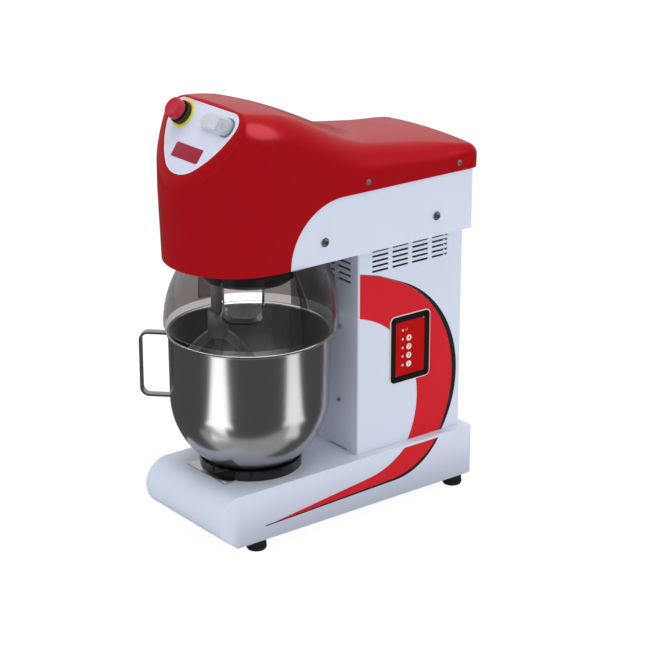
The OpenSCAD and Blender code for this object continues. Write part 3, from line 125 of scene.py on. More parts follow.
def fillet(corners: Sequence[Sequence[float]], radii: Sequence[float], steps: int = 6,
           closed: bool = False) -> Array:
    """Rounds the corners of a line by arcs that touch both neighbouring sides.

    With unit vectors u and v towards the neighbours and half angle h, an arc of radius r starts
    r / tan(h) along u, ends as far along v and turns about the point r / sin(h) along u + v.

    Args:
        corners: corner points, in two or three dimensions.
        radii: rounding of each corner, 0 for a sharp one.
        steps: segments of each arc.
        closed: whether the last corner joins the first.

    Returns:
        The points of the rounded line.
    """
    p = np.asarray(corners, float)
    r = np.asarray(radii, float)[:, None]
    to_last = np.roll(p, 1, 0) - p
    to_next = np.roll(p, -1, 0) - p
    if not closed:
        to_last[0], to_next[-1] = -to_next[0], -to_last[-1]
        r = r.copy()
        r[[0, -1]] = 0
    u = to_last / np.linalg.norm(to_last, axis=1, keepdims=True)
    v = to_next / np.linalg.norm(to_next, axis=1, keepdims=True)
    half = np.arccos(np.clip((u * v).sum(1, keepdims=True), -1, 1)) / 2
    reach = r / np.tan(half)
    middle = u + v
    size = np.linalg.norm(middle, axis=1, keepdims=True)
    centre = p + middle / np.where(size > 1e-9, size, 1) * r / np.sin(half)
    turn = np.maximum(math.pi - 2 * half, 1e-6)[:, None, :]
    t = np.linspace(0, 1, steps + 1)[None, :, None]
    first = (p + u * reach - centre)[:, None, :]
    last = (p + v * reach - centre)[:, None, :]
    arc = (np.sin((1 - t) * turn) * first + np.sin(t * turn) * last) / np.sin(turn)
    line = (centre[:, None, :] + arc).reshape(-1, p.shape[1])
    step = np.linalg.norm(np.diff(line, axis=0), axis=1)
    return line[np.concatenate([[True], step > 1e-6])]


def arc(centre: Sequence[float], radius: float, start: float, end: float, count: int) -> Array:
    """Points centre + radius (cos a, sin a) for a from start to end in degrees.

    Args:
        centre: middle of the arc.
        radius: its radius.
        start: first angle.
        end: last angle.
        count: number of points.

    Returns:
        Points (count, 2).
    """
    a = np.radians(np.linspace(start, end, count))
    return np.asarray(centre) + radius * np.stack([np.cos(a), np.sin(a)], -1)


def smooth_step(t: Array) -> Array:
    """Smooth rise from 0 to 1 as t does: 3 t squared less 2 t cubed, held outside."""
    held = np.clip(t, 0, 1)
    return held * held * (3 - 2 * held)


def outward(outline: Array) -> Array:
    """Unit normals of a closed outline that runs against the clock: its tangent turned right.

    Args:
        outline: points (n, 2).

    Returns:
        Normals (n, 2).
    """
    along = np.roll(outline, -1, 0) - np.roll(outline, 1, 0)
    normal = np.stack([along[:, 1], -along[:, 0]], -1)
    return normal / np.linalg.norm(normal, axis=1, keepdims=True)


def round_box(width: float, height: float, corner: float, steps: int = 8) -> Array:
    """Outline of a rectangle with round corners about the origin, against the clock."""
    x, y = width / 2, height / 2
    return fillet([[x, -y], [x, y], [-x, y], [-x, -y]], [corner] * 4, steps, closed=True)


def revolve(profile: Array, angles: Array) -> Array:
    """Turns a profile about the upright axis: (r cos a, r sin a, z).

    Args:
        profile: points (n, 2) of radius and height.
        angles: angles (m) in degrees.

    Returns:
        Grid (n, m, 3).
    """
    a = np.radians(angles)[None, :]
    r, z = profile[:, :1], profile[:, 1:]
    return np.stack([r * np.cos(a), r * np.sin(a), z + 0 * a], -1)


def full_turn(count: int) -> Array:
    """Angles of one turn in degrees, without the last one."""
    return np.linspace(0, 360, count, endpoint=False)


def carry(outline: Array, profile: Array) -> Array:
    """Carries a profile along a closed outline: outline + normal * offset at each height.

    Args:
        outline: closed outline (m, 2).
        profile: points (n, 2) of outward offset and height.

    Returns:
        Grid (n, m, 3).
    """
    normal = outward(outline)
    flat = outline[None] + profile[:, None, :1] * normal[None]
    height = np.broadcast_to(profile[:, None, 1:], flat.shape[:2] + (1,))
    return np.concatenate([flat, height], -1)


def plate_edge(thick: float, edge: float, low: float = 0.0, steps: int = 4) -> Array:
    """Edge profile of a plate from its underside up over a rounded top edge."""
    top = arc((-edge, low + thick - edge), edge, 0, 90, steps + 1)
    return np.concatenate([[[-edge, low], [0.0, low]], top])


class Shape:
    """Grids of points in millimetres that become one mesh."""

    def __init__(self) -> None:
        """Starts with no points."""
        self.points: list[Array] = []
        self.faces: list[Sequence[int]] = []
        self.count = 0

    def _take(self, points: Array) -> int:
        """Stores points and returns the index of the first one."""
        start = self.count
        flat = points.reshape(-1, 3)
        self.points.append(flat)
        self.count += len(flat)
        return start

    def grid(self, points: Array, around: bool = False) -> "Shape":
        """Adds a grid of points with a quad in each cell.

        Args:
            points: grid (rows, columns, 3).
            around: whether the last column joins the first.

        Returns:
            The shape itself.
        """
        rows, columns = points.shape[:2]
        start = self._take(points)
        row = np.arange(rows - 1)[:, None] * columns
        column = np.arange(columns if around else columns - 1)[None, :]
        a, b = row + column, row + (column + 1) % columns
        quads = start + np.stack([a, b, b + columns, a + columns], -1).reshape(-1, 4)
        self.faces.extend(quads.tolist())
        return self

    def lid(self, ring: Array) -> "Shape":
        """Closes a flat ring of points (n, 3) with one face."""
        start = self._take(ring)
        self.faces.append(list(range(start, start + len(ring))))
        return self

    def plate(self, outline: Array, profile: Array, place: Place) -> "Shape":
        """Adds a closed plate: an edge profile carried along an outline, with two lids.

        Args:
            outline: closed outline (m, 2).
            profile: offset and height, from the underside to the top.
            place: working plane of the plate.

        Returns:
            The shape itself.
        """
        wall = place.put(carry(outline, profile))
        return self.grid(wall, around=True).lid(wall[0][::-1]).lid(wall[-1])

    def turned(self, profile: Array, place: Place, count: int = 96) -> "Shape":
        """Adds a full turn of a profile of radius and height about a place's axis."""
        return self.grid(place.put(revolve(profile, full_turn(count))), around=True)

    def piece(self, name: str, finish: "Finish", body: Body, replaces: Sequence[str] = (),
              sharp: float = 38.0) -> bpy.types.Object:
        """Makes the object: welds seams and poles, turns faces outwards and shades by angle.

        Args:
            name: name of the piece.
            finish: finish of all its faces.
            body: body that it rides on.
            replaces: nodes that it stands for.
            sharp: angle in degrees from which an edge stays sharp.

        Returns:
            The new object.
        """
        mesh = bpy.data.meshes.new(name)
        mesh.from_pydata((np.concatenate(self.points) * MM).tolist(), [], self.faces)
        work = bmesh.new()
        work.from_mesh(mesh)
        bmesh.ops.remove_doubles(work, verts=work.verts, dist=2e-6)
        bmesh.ops.recalc_face_normals(work, faces=work.faces)
        work.to_mesh(mesh)
        work.free()
        mesh.shade_smooth()
        mesh.set_sharp_from_angle(angle=math.radians(sharp))
        return settle(bpy.data.objects.new(name, mesh), finish, body, replaces)


def settle(made: bpy.types.Object, finish: "Finish", body: Body,
           replaces: Sequence[str] = ()) -> bpy.types.Object:
    """Links an object, gives it its finish and lets it ride on a body.

    Args:
        made: object at the origin with its place in its mesh.
        finish: finish of the piece.
        body: body that it rides on.
        replaces: nodes that it stands for.

    Returns:
        The object.
    """
    bpy.context.scene.collection.objects.link(made)
    made.data.materials.clear()
    made.data.materials.append(finish.material())
    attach(made, body.value)
    if replaces:
        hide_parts(*replaces)
    log.info("%s: %d faces, %s", made.name, len(made.data.polygons), finish.slot)
    return made


class Graph:
    """Short hand for the nodes and links of one node tree."""

    def __init__(self, tree: bpy.types.NodeTree) -> None:
        """Takes the tree to add to."""
        self.tree = tree

    def node(self, kind: str, inputs: dict[Any, Any] | None = None, **settings: Any) -> bpy.types.Node:
        """Adds a node.

        Args:
            kind: Blender's name of the node.
            inputs: socket name or index to a value, or to a socket that feeds it.
            settings: properties of the node.

        Returns:
            The node.
        """
        made = self.tree.nodes.new(kind)
        for key, value in settings.items():
            setattr(made, key, value)
        for key, value in (inputs or {}).items():
            if isinstance(value, bpy.types.NodeSocket):
                self.tree.links.new(value, made.inputs[key])
            else:
                made.inputs[key].default_value = value
        return made

    def math(self, operation: str, a: Any, b: Any = 0.0) -> bpy.types.NodeSocket:
        """Adds a Math node and returns its result."""
        return self.node("ShaderNodeMath", {0: a, 1: b}, operation=operation).outputs[0]

    def noise(self, vector: Any, scale: Any, detail: float = 2.0) -> bpy.types.NodeSocket:
        """Adds a noise texture and returns its value."""
        inputs = {"Vector": vector, "Scale": scale, "Detail": detail}
        return self.node("ShaderNodeTexNoise", inputs).outputs[0]


class Effect:
    """Shader groups that finishes share, each built the first time it is used."""

    @staticmethod
    def _open(name: str, takes: dict[str, str], gives: Sequence[str]) -> tuple[Any, Graph, Any, Any]:
        """Starts a group with its sockets.

        Args:
            name: name of the group.
            takes: input names and socket types.
            gives: names of the value outputs.

        Returns:
            The tree, its graph, its input node and its output node.
        """
        tree = bpy.data.node_groups.new(name, "ShaderNodeTree")
        for label, kind in takes.items():
            tree.interface.new_socket(label, in_out="INPUT", socket_type=kind)
        for label in gives:
            tree.interface.new_socket(label, in_out="OUTPUT", socket_type="NodeSocketFloat")
        graph = Graph(tree)
        return tree, graph, graph.node("NodeGroupInput"), graph.node("NodeGroupOutput")

    @classmethod
    def _marks(cls, name: str, slowness: float, spread: Callable[[Graph, Any], Any]) -> bpy.types.NodeTree:
        """Fine noise as height and slow noise as tone, both over a vector that is spread first.

        Args:
            name: name of the group.
            slowness: scale of the tone as a share of the scale of the height.
            spread: adds the nodes that spread the vector and returns their socket.

        Returns:
            The group.
        """
        if name in bpy.data.node_groups:
            return bpy.data.node_groups[name]
        tree, graph, given, result = cls._open(
            name, {"Vector": "NodeSocketVector", "Scale": "NodeSocketFloat"}, ("Height", "Tone"))
        vector, scale = spread(graph, given.outputs["Vector"]), given.outputs["Scale"]
        slow = graph.math("MULTIPLY", scale, slowness)
        tree.links.new(graph.noise(vector, scale, 3.0), result.inputs["Height"])
        tree.links.new(graph.noise(vector, slow, 2.0), result.inputs["Tone"])
        return tree

    @classmethod
    def skin(cls) -> bpy.types.NodeTree:
        """Round shallow marks of paint, moulded and cast skins: noise over the vector as it is."""
        return cls._marks("skin_marks", 0.03, lambda graph, vector: vector)

    @classmethod
    def turned(cls) -> bpy.types.NodeTree:
        """Lines round an upright axis: noise over radius and height, almost even along the turn."""
        return cls._marks("turned_lines", 0.12, cls._about_axis)

    @classmethod
    def drawn(cls) -> bpy.types.NodeTree:
        """Straight lines along the machine: noise drawn out fifty times along Y."""
        return cls._marks("drawn_lines", 0.1, lambda graph, vector: graph.node(
            "ShaderNodeVectorMath", {0: vector, 1: (1.0, 0.02, 1.0)}, operation="MULTIPLY").outputs[0])

    @staticmethod
    def _about_axis(graph: Graph, vector: Any) -> Any:
        """Spreads a vector into radius, a small share of the angle, and height.

        Args:
            graph: graph to add to.
            vector: socket of the vector.

        Returns:
            Socket of the spread vector.
        """
        parts = graph.node("ShaderNodeSeparateXYZ", {0: vector}).outputs
        radius = graph.math("SQRT", graph.math("ADD", graph.math("POWER", parts[0], 2.0),
                                               graph.math("POWER", parts[1], 2.0)))
        angle = graph.math("MULTIPLY", graph.math("ARCTAN2", parts[1], parts[0]), 0.004)
        return graph.node("ShaderNodeCombineXYZ", {0: radius, 1: angle, 2: parts[2]}).outputs[0]

    @classmethod
    def handling(cls) -> bpy.types.NodeTree:
        """Uneven gloss of a handled surface: slow noise spread between two roughnesses."""
        name = "handling"
        if name in bpy.data.node_groups:
            return bpy.data.node_groups[name]
        tree, graph, given, result = cls._open(
            name, {"Vector": "NodeSocketVector", "Scale": "NodeSocketFloat", "Low": "NodeSocketFloat",
                   "High": "NodeSocketFloat"}, ("Roughness",))
        cloud = graph.noise(given.outputs["Vector"], given.outputs["Scale"], 1.0)
        spread = graph.node("ShaderNodeMapRange", {
            "Value": cloud, "From Min": 0.25, "From Max": 0.75,
            "To Min": given.outputs["Low"], "To Max": given.outputs["High"]}, clamp=False)
        tree.links.new(spread.outputs[0], result.inputs["Roughness"])
        return tree


GLOSS_SCALE = 14.0
BUMP_STRENGTH = 0.35
QUARTER_TURN = 0.25


class Marks(Enum):
    """How the fine marks of a finish run."""

    SKIN = "skin"
    TURNED = "turned"
    DRAWN = "drawn"


@dataclass(frozen=True)
class Finish:
    """A surface finish and the record slot that it belongs to."""

    name: str
    slot: str
    colour: Colour
    shade: Colour
    rough: tuple[float, float]
    marks: Marks = Marks.SKIN
    scale: float = 500.0
    bump: float = 0.03
    metal: float = 0.0
    specular: float = 0.5
    stretch: float = 0.0
    clear: float = 0.0
    index: float = 1.5
    # span along X over which the colour turns into the second tone; for the switch pad this is painted shade
    fade: tuple[float, float] | None = None

    def material(self) -> bpy.types.Material:
        """Builds the material once.

        Returns:
            The material.
        """
        if self.name in bpy.data.materials:
            return bpy.data.materials[self.name]
        made = bpy.data.materials.new(self.name)
        made.use_nodes = True
        made.node_tree.nodes.clear()
        self.fill(Graph(made.node_tree))
        return made

    def fill(self, graph: Graph) -> None:
        """Adds the shader: two tones, uneven gloss and a fine bump.

        Args:
            graph: graph of the material.
        """
        seen = graph.node("ShaderNodeTexCoord").outputs["Object"]
        shift = {"Vector": seen, "Location": (0.0, -AXIS_Y * MM, 0.0)}
        centred = graph.node("ShaderNodeMapping", shift).outputs[0]
        group = getattr(Effect, self.marks.value)()
        marks = graph.node("ShaderNodeGroup", node_tree=group)
        graph.tree.links.new(centred, marks.inputs["Vector"])
        marks.inputs["Scale"].default_value = self.scale
        share = marks.outputs["Tone"]
        # Across X the colour turns into the second tone: painted shade on the switch pad, a two-tone split on
        # the rocker.
        if self.fade:
            across = graph.node("ShaderNodeSeparateXYZ", {0: seen}).outputs[0]
            share = graph.node("ShaderNodeMapRange", {
                "Value": across, "From Min": self.fade[0] * MM, "From Max": self.fade[1] * MM}).outputs[0]
        tone = graph.node("ShaderNodeMix", {0: share, 6: (*self.colour, 1), 7: (*self.shade, 1)},
                          data_type="RGBA")
        gloss = graph.node("ShaderNodeGroup", node_tree=Effect.handling())
        graph.tree.links.new(centred, gloss.inputs["Vector"])
        for label, value in (("Scale", GLOSS_SCALE), ("Low", self.rough[0]), ("High", self.rough[1])):
            gloss.inputs[label].default_value = value
        bump = graph.node("ShaderNodeBump", {"Height": marks.outputs["Height"], "Strength": BUMP_STRENGTH,
                                             "Distance": self.bump * MM})
        shader = graph.node("ShaderNodeBsdfPrincipled", {
            "Base Color": tone.outputs[2], "Roughness": gloss.outputs[0], "Normal": bump.outputs[0],
            "Metallic": self.metal, "Specular IOR Level": self.specular, "Anisotropic": self.stretch,
            "Transmission Weight": self.clear, "IOR": self.index})
        if self.stretch:
            along = graph.node("ShaderNodeTangent", direction_type="RADIAL", axis="Z")
            graph.tree.links.new(along.outputs[0], shader.inputs["Tangent"])
            shader.inputs["Anisotropic Rotation"].default_value = QUARTER_TURN
        output = graph.node("ShaderNodeOutputMaterial")
        graph.tree.links.new(shader.outputs[0], output.inputs["Surface"])


WHITE = Finish("white_powder_coat", "white_paint", (0.76, 0.80, 0.90), (0.73, 0.77, 0.88), (0.36, 0.46),
               scale=420, bump=0.02, specular=0.35)
PANEL_WHITE = Finish("white_panel_foil", "panel_white", (0.72, 0.74, 0.86), (0.69, 0.71, 0.84), (0.30, 0.38),
                     scale=800, bump=0.01)
# Panel rim: the panel's own white painted brighter, a painted highlight along the raised rim.
RIM_PAINTED_HIGHLIGHT = Finish("white_panel_rim", "panel_white", (0.95, 0.94, 0.97), (0.92, 0.91, 0.95), (0.30, 0.38),
                   scale=800, bump=0.01)
RED_GLOSS = Finish("red_gloss_shell", "red_gloss", (0.41, 0.0, 0.004), (0.39, 0.0, 0.004), (0.24, 0.27),
                   scale=300, bump=0.012, specular=0.17)
STOP_RED = Finish("red_button", "stop_red", (0.56, 0.010, 0.03), (0.50, 0.008, 0.025), (0.34, 0.44),
                  scale=900)
PLATE_RED = Finish("red_plate", "stop_red", (0.36, 0.010, 0.035), (0.33, 0.009, 0.03), (0.3, 0.4), scale=900)
FILM_RED = Finish("red_film", "stripe_red", (0.74, 0.010, 0.020), (0.70, 0.009, 0.018), (0.30, 0.38),
                  bump=0.01, specular=0.25)
FILM_BLACK = Finish("black_film", "stripe_black", (0.016, 0.016, 0.017), (0.02, 0.02, 0.021), (0.30, 0.38))
FOIL_RED = Finish("red_key_foil", "keypad_red", (0.56, 0.0, 0.0), (0.52, 0.0, 0.0), (0.30, 0.38),
                  bump=0.01, specular=0.12)
FOIL_WHITE = Finish("white_key_foil", "key_white", (0.92, 0.88, 0.85), (0.88, 0.84, 0.81), (0.30, 0.38))
RIM_PALE = Finish("pale_key_rim", "key_white", (0.88, 0.80, 0.74), (0.84, 0.76, 0.70), (0.30, 0.38))
KEY_INK = Finish("dark_key_ink", "keypad_black", (0.05, 0.01, 0.012), (0.06, 0.012, 0.014), (0.4, 0.5))
ICON_PINK = Finish("pink_key_ink", "key_white", (0.80, 0.30, 0.28), (0.76, 0.28, 0.26), (0.3, 0.4))
FRAME_BLACK = Finish("black_key_frame", "keypad_black", (0.012, 0.010, 0.010), (0.014, 0.012, 0.012),
                     (0.26, 0.36), specular=0.2)
BLACK = Finish("black_moulding", "black_plastic", (0.012, 0.012, 0.013), (0.018, 0.018, 0.019), (0.34, 0.46),
               scale=700, bump=0.05)
RING_BLACK = Finish("black_gloss_ring", "black_plastic", (0.008, 0.008, 0.009), (0.012, 0.012, 0.013),
                    (0.18, 0.26), scale=700)
ENAMEL = Finish("black_enamel", "carrier_black", (0.012, 0.012, 0.013), (0.016, 0.016, 0.018), (0.26, 0.36))
RUBBER = Finish("black_rubber", "rubber", (0.012, 0.012, 0.014), (0.02, 0.02, 0.022), (0.5, 0.66), scale=900,
                bump=0.12)
BELT = Finish("belt_rubber", "belt_rubber", (0.02, 0.02, 0.02), (0.03, 0.03, 0.03), (0.55, 0.7), scale=900)
YELLOW = Finish("yellow_ring", "yellow_plastic", (0.80, 0.74, 0.02), (0.75, 0.68, 0.02), (0.32, 0.42))
BOWL_STEEL = Finish("spun_steel", "bowl_steel", (0.52, 0.52, 0.53), (0.49, 0.49, 0.50), (0.19, 0.22),
                    marks=Marks.TURNED, scale=1400, bump=0.004, metal=1.0, stretch=0.3)
STRAP_STEEL = Finish("strap_steel", "handle_steel", (0.50, 0.49, 0.51), (0.44, 0.44, 0.46), (0.30, 0.40),
                     marks=Marks.DRAWN, scale=1200, bump=0.02, metal=1.0)
SHEET_STEEL = Finish("polished_sheet", "polished_steel", (0.62, 0.62, 0.62), (0.58, 0.58, 0.58), (0.10, 0.16),
                     marks=Marks.DRAWN, scale=1000, bump=0.005, metal=1.0)
BRIGHT_STEEL = Finish("machined_steel", "bright_steel", (0.60, 0.60, 0.61), (0.52, 0.52, 0.53), (0.24, 0.36),
                      marks=Marks.TURNED, scale=1500, bump=0.02, metal=1.0)
SCREW_ZINC = Finish("zinc_screw", "bright_steel", (0.62, 0.63, 0.64), (0.54, 0.55, 0.56), (0.32, 0.42),
                    scale=1500, bump=0.02, metal=0.85)
PRIMED = Finish("primed_steel", "zinc_steel", (0.38, 0.39, 0.41), (0.33, 0.34, 0.36), (0.45, 0.6), scale=600)
IRON = Finish("machined_iron", "cast_iron", (0.30, 0.30, 0.31), (0.24, 0.24, 0.25), (0.36, 0.5), scale=900,
              bump=0.06, metal=0.9)
MOTOR = Finish("motor_paint", "motor_paint", (0.14, 0.16, 0.18), (0.12, 0.13, 0.15), (0.4, 0.55), scale=500)
BOARD = Finish("board_lacquer", "board_green", (0.03, 0.16, 0.07), (0.03, 0.12, 0.05), (0.3, 0.45), scale=300)
CAST = Finish("cast_aluminium", "cast_aluminium", (0.66, 0.66, 0.65), (0.56, 0.56, 0.56), (0.38, 0.52),
              scale=900, bump=0.12, metal=0.9)
# Switch pad: fades from pale grey to dark slate across its right end, which is painted shade.
PAD_GREY = Finish("shaded_pad", "switch_grey", (0.66, 0.69, 0.78), (0.12, 0.15, 0.22), (0.30, 0.40),
                  scale=800, fade=(50.0, 58.0))
ROCKER_TWO = Finish("two_tone_rocker", "rocker", (0.80, 0.81, 0.87), (0.20, 0.23, 0.30), (0.28, 0.36),
                    fade=(36.6, 37.4))
ROCKER_INK = Finish("rocker_ink", "rocker", (0.20, 0.22, 0.28), (0.24, 0.26, 0.32), (0.4, 0.5))
ROCKER_PALE = Finish("rocker_ring", "rocker", (0.72, 0.74, 0.80), (0.68, 0.70, 0.77), (0.3, 0.4))
SMOKE = Finish("smoky_clear", "guard_clear", (0.42, 0.40, 0.39), (0.40, 0.38, 0.37), (0.03, 0.05), scale=60,
               bump=0.002, specular=0.25, clear=1.0, index=1.3)
CLEAR_CAP = Finish("clear_cap", "clear_cap", (0.93, 0.94, 0.96), (0.91, 0.92, 0.95), (0.04, 0.06), scale=200,
                   bump=0.002, specular=0.4, clear=1.0, index=1.15)

NODE_FINISHES: dict[Finish, tuple[str, ...]] = {
    WHITE: ("base_shell", "column_shell", "column_rear_panel", "head_floor", "arm_shell"),
    PRIMED: ("base_bottom_plate", "column_post", "head_frame"),
    RUBBER: ("feet",),
    BRIGHT_STEEL: ("foot_screws", "seat_screws", "motor_rotor", "main_shaft", "main_bearings", "arm_screws",
                   "planet_bearings", "tool_shaft", "tool_pin"),
    SCREW_ZINC: ("column_screws", "cover_screws"),
    SHEET_STEEL: ("seat_plate",),
    RING_BLACK: ("bowl_seat_ring",),
    BLACK: ("stop_collar", "stop_stem", "guard_rail", "guard_slider", "cable_gland"),
    STRAP_STEEL: ("bowl_base_ring", "bowl_handle"),
    BOWL_STEEL: ("bowl",),
    MOTOR: ("motor_housing",),
    IRON: ("motor_pulley", "drive_pulley", "bearing_housing", "ring_gear", "planet_pinion"),
    BELT: ("drive_belt",),
    RED_GLOSS: ("head_cover",),
    PANEL_WHITE: ("control_panel",),
    YELLOW: ("stop_ring",),
    STOP_RED: ("stop_button",),
    PAD_GREY: ("switch_frame",),
    ROCKER_TWO: ("switch_rocker",),
    CLEAR_CAP: ("switch_cap",),
    FRAME_BLACK: ("keypad_frame",),
    FOIL_RED: ("keypad_field",),
    FOIL_WHITE: ("speed_key_1", "speed_key_2", "speed_key_3", "speed_key_4"),
    BOARD: ("control_board",),
    FILM_RED: ("stripe_red",),
    FILM_BLACK: ("stripe_black",),
    ENAMEL: ("planet_carrier",),
    CAST: ("beater",),
    SMOKE: ("rear_guard", "front_guard", "feed_chute"),
}


@dataclass(frozen=True)
class CadNodes:
    """Dresses the frame's own nodes: welded, softened along their edges and given their finish."""

    weld: float = 0.002
    crease: float = 28.0
    edges: tuple[tuple[str, float], ...] = (
        ("seat_plate", 0.4), ("bowl_seat_ring", 0.8), ("guard_rail", 0.5), ("guard_slider", 0.5),
        ("planet_carrier", 0.8), ("beater", 1.6), ("tool_shaft", 0.6), ("tool_pin", 0.6), ("stop_ring", 0.3),
        ("head_floor", 0.4),
        ("arm_screws", 0.35), ("cover_screws", 0.3), ("column_screws", 0.3), ("cable_gland", 0.6),
        ("stop_collar", 0.5), ("stop_stem", 0.4))

    def dress(self) -> None:
        """Gives each node its finish, weld, edge rounding and shading."""
        widths = dict(self.edges)
        for finish, names in NODE_FINISHES.items():
            for name in names:
                self._dress_one(frame["nodes"][name], finish, widths.get(name, 0.0))

    def _dress_one(self, node: bpy.types.Object, finish: Finish, edge: float) -> None:
        """Dresses one node.

        Args:
            node: the node's object.
            finish: its finish.
            edge: rounding of its edges in millimetres, or 0.
        """
        mesh = node.data
        mesh.materials.clear()
        mesh.materials.append(finish.material())
        mesh.polygons.foreach_set("use_smooth", np.ones(len(mesh.polygons), bool))
        weld = node.modifiers.new("weld", "WELD")
        weld.merge_threshold = self.weld * MM
        if edge:
            bevel = node.modifiers.new("edge", "BEVEL")
            bevel.width = edge * MM
            bevel.segments = 2
            bevel.limit_method = "ANGLE"
            bevel.angle_limit = math.radians(self.crease)
            bevel.harden_normals = True
        split = node.modifiers.new("crease", "EDGE_SPLIT")
        split.split_angle = math.radians(self.crease)
        log.info("%s: %s", node.name, finish.name)


@dataclass(frozen=True)
class HeadCover:
    """The red shell: a round nose, a sloping panel plane, a hump and a falling rear deck."""

    half_width: float = 108.0
    setback: float = 22.0
    lean: float = 3.5
    lean_past: float = 12.0
    rear: float = 349.3
    corner: float = 14.0
    low: float = 434.0
    arm_top: float = 528.0
    arm_front: float = 3.0
    wall: float = 3.0
    deck: float = 589.8
    deck_fall: float = 0.13
    deck_start: float = 175.0
    hump: float = 48.1
    hump_foot: float = 197.0
    hump_length: float = 208.4
    foot_side: float = 49.7
    length_side: float = 40.0
    crown: float = 4.4
    crown_margin: float = 8.0
    shoulder: float = 38.0
    rear_round: float = 15.0
    taper: float = 90.0
    share: float = 0.6
    panel_round: float = 13.0
    blend: float = 6.0
    spine: tuple[float, float] = (-30.0, 285.0)

    def edge(self) -> Array:
        """Closed plan outline: nose arc, sides, rear corners and rear.

        Returns:
            Rows of x, y, normal x, normal y and the height of the lower edge.
        """
        rise = self.arm_top - self.low
        turn = rise - self.arm_front
        end = self.rear - self.corner
        a = np.radians(np.linspace(180, 360, 121))
        nose = np.stack([self.half_width * np.cos(a), self.half_width * np.sin(a) - self.setback,
                         np.cos(a), np.sin(a), np.full_like(a, self.low)], -1)
        b = np.radians(np.linspace(0, 90, 41))
        one = np.ones_like(b)
        gap = np.stack([self.half_width * one, turn - rise * np.cos(b), one, 0 * one,
                        self.low + rise * np.sin(b)], -1)
        y = np.linspace(turn, end, 40)[1:]
        one = np.ones_like(y)
        deck = np.stack([self.half_width * one, y, one, 0 * one, self.arm_top * one], -1)
        a = np.radians(np.linspace(0, 90, 13))[1:]
        turn_back = np.stack([self.half_width - self.corner * (1 - np.cos(a)), end + self.corner * np.sin(a),
                              np.cos(a), np.sin(a), np.full_like(a, self.arm_top)], -1)
        side = np.concatenate([gap, deck, turn_back])
        x = np.linspace(self.half_width - self.corner, self.corner - self.half_width, 32)[1:-1]
        one = np.ones_like(x)
        back = np.stack([x, self.rear * one, 0 * one, one, self.arm_top * one], -1)
        return np.concatenate([nose, side, back, (side * [-1, 1, -1, 1, 1])[::-1]])

    def body(self, x: Array, y: Array) -> Array:
        """Height of the falling deck with its hump and its crown, before any rounding.

        Args:
            x: sideways places.
            y: places along the machine.

        Returns:
            Heights.
        """
        q = (x / (self.half_width - self.crown_margin)) ** 2
        foot = self.hump_foot - self.foot_side * q
        length = self.hump_length - self.length_side * q
        deck = self.deck - self.deck_fall * (y - self.deck_start)
        return deck + self.hump * smooth_step((foot - y) / length) - self.crown * q

    @staticmethod
    def fall(reach: Array, deep: Array, d: Array) -> Array:
        """Fall of a rounding at distance d from the wall: a quarter ellipse of a reach and a depth."""
        return deep * (1 - np.sqrt(1 - np.clip(1 - d / reach, 0, 1) ** 2))

    def top(self, x: Array, y: Array, d: Array, bend: tuple[Array, Array], sink: float) -> Array:
        """Height of the top: the smooth lower one of the body and the panel plane, each with its rounding.

        Args:
            x: sideways places.
            y: places along the machine.
            d: distances from the wall.
            bend: reach and depth of the shoulder.
            sink: distance below the outer skin.

        Returns:
            Heights.
        """
        edge = self.panel_round - sink / 2
        body = self.body(x, y) - sink - self.fall(bend[0] - sink / 2, bend[1] - sink / 2, d)
        plane = PANEL_HEIGHT + (y + PANEL_FRONT) * math.tan(PANEL_TILT) - sink / math.cos(PANEL_TILT)
        plane = plane - self.fall(edge, edge, d)
        h = np.clip(0.5 + (plane - body) / (2 * self.blend), 0, 1)
        return plane + (body - plane) * h - self.blend * h * (1 - h)

    def skin(self, inset: float, wall_steps: int, round_steps: int, crest_steps: int) -> Array:
        """Rings of one skin from the lower edge over the rounding to the crest line.

        The wall leans out with height, the rounding follows the shoulder's quarter ellipse, which
        narrows smoothly towards the rear corners, and the crest runs straight in plan from the
        rounding to a line along the middle.

        Args:
            inset: distance inwards from the outer skin.
            wall_steps: rings on the wall.
            round_steps: rings on the rounding.
            crest_steps: rings on the crest.

        Returns:
            Grid (rings, columns, 3).
        """
        x, y, nx, ny, low = self.edge().T
        ahead = smooth_step((self.rear - self.corner - y) / self.taper)
        reach = self.rear_round + (self.shoulder - self.rear_round) * ahead
        deep = np.minimum(reach, self.share * (self.body(x, y) - self.arm_top))
        bend = (reach, np.maximum(2 * self.wall, deep))
        out = self.lean - inset
        rim = self.top(x + nx * out, y + ny * out, 0 * x, bend, inset)
        t = np.linspace(0, 1, wall_steps)[:, None]
        z = low + (rim - low) * t
        d = self.lean * np.clip((z - self.low) / (self.arm_top - self.low + self.lean_past), 0, 1) - inset
        wall = np.stack([x + nx * d, y + ny * d, z], -1)
        a = np.radians(np.linspace(0, 90, round_steps + 1))[1:, None]
        d = (reach - inset / 2) * (1 - np.cos(a))
        rx, ry = x + nx * (out - d), y + ny * (out - d)
        bowed = np.stack([rx, ry, self.top(rx, ry, d, bend, inset)], -1)
        ex, ey = rx[-1], ry[-1]
        foot = np.clip(ey, *self.spine)
        f = np.linspace(1, 0, crest_steps + 1)[1:, None]
        cx, cy = ex * f, foot + (ey - foot) * f
        crest = np.stack([cx, cy, self.top(cx, cy, self.shoulder + 0 * cx, bend, inset)], -1)
        return np.concatenate([wall, bowed, crest])

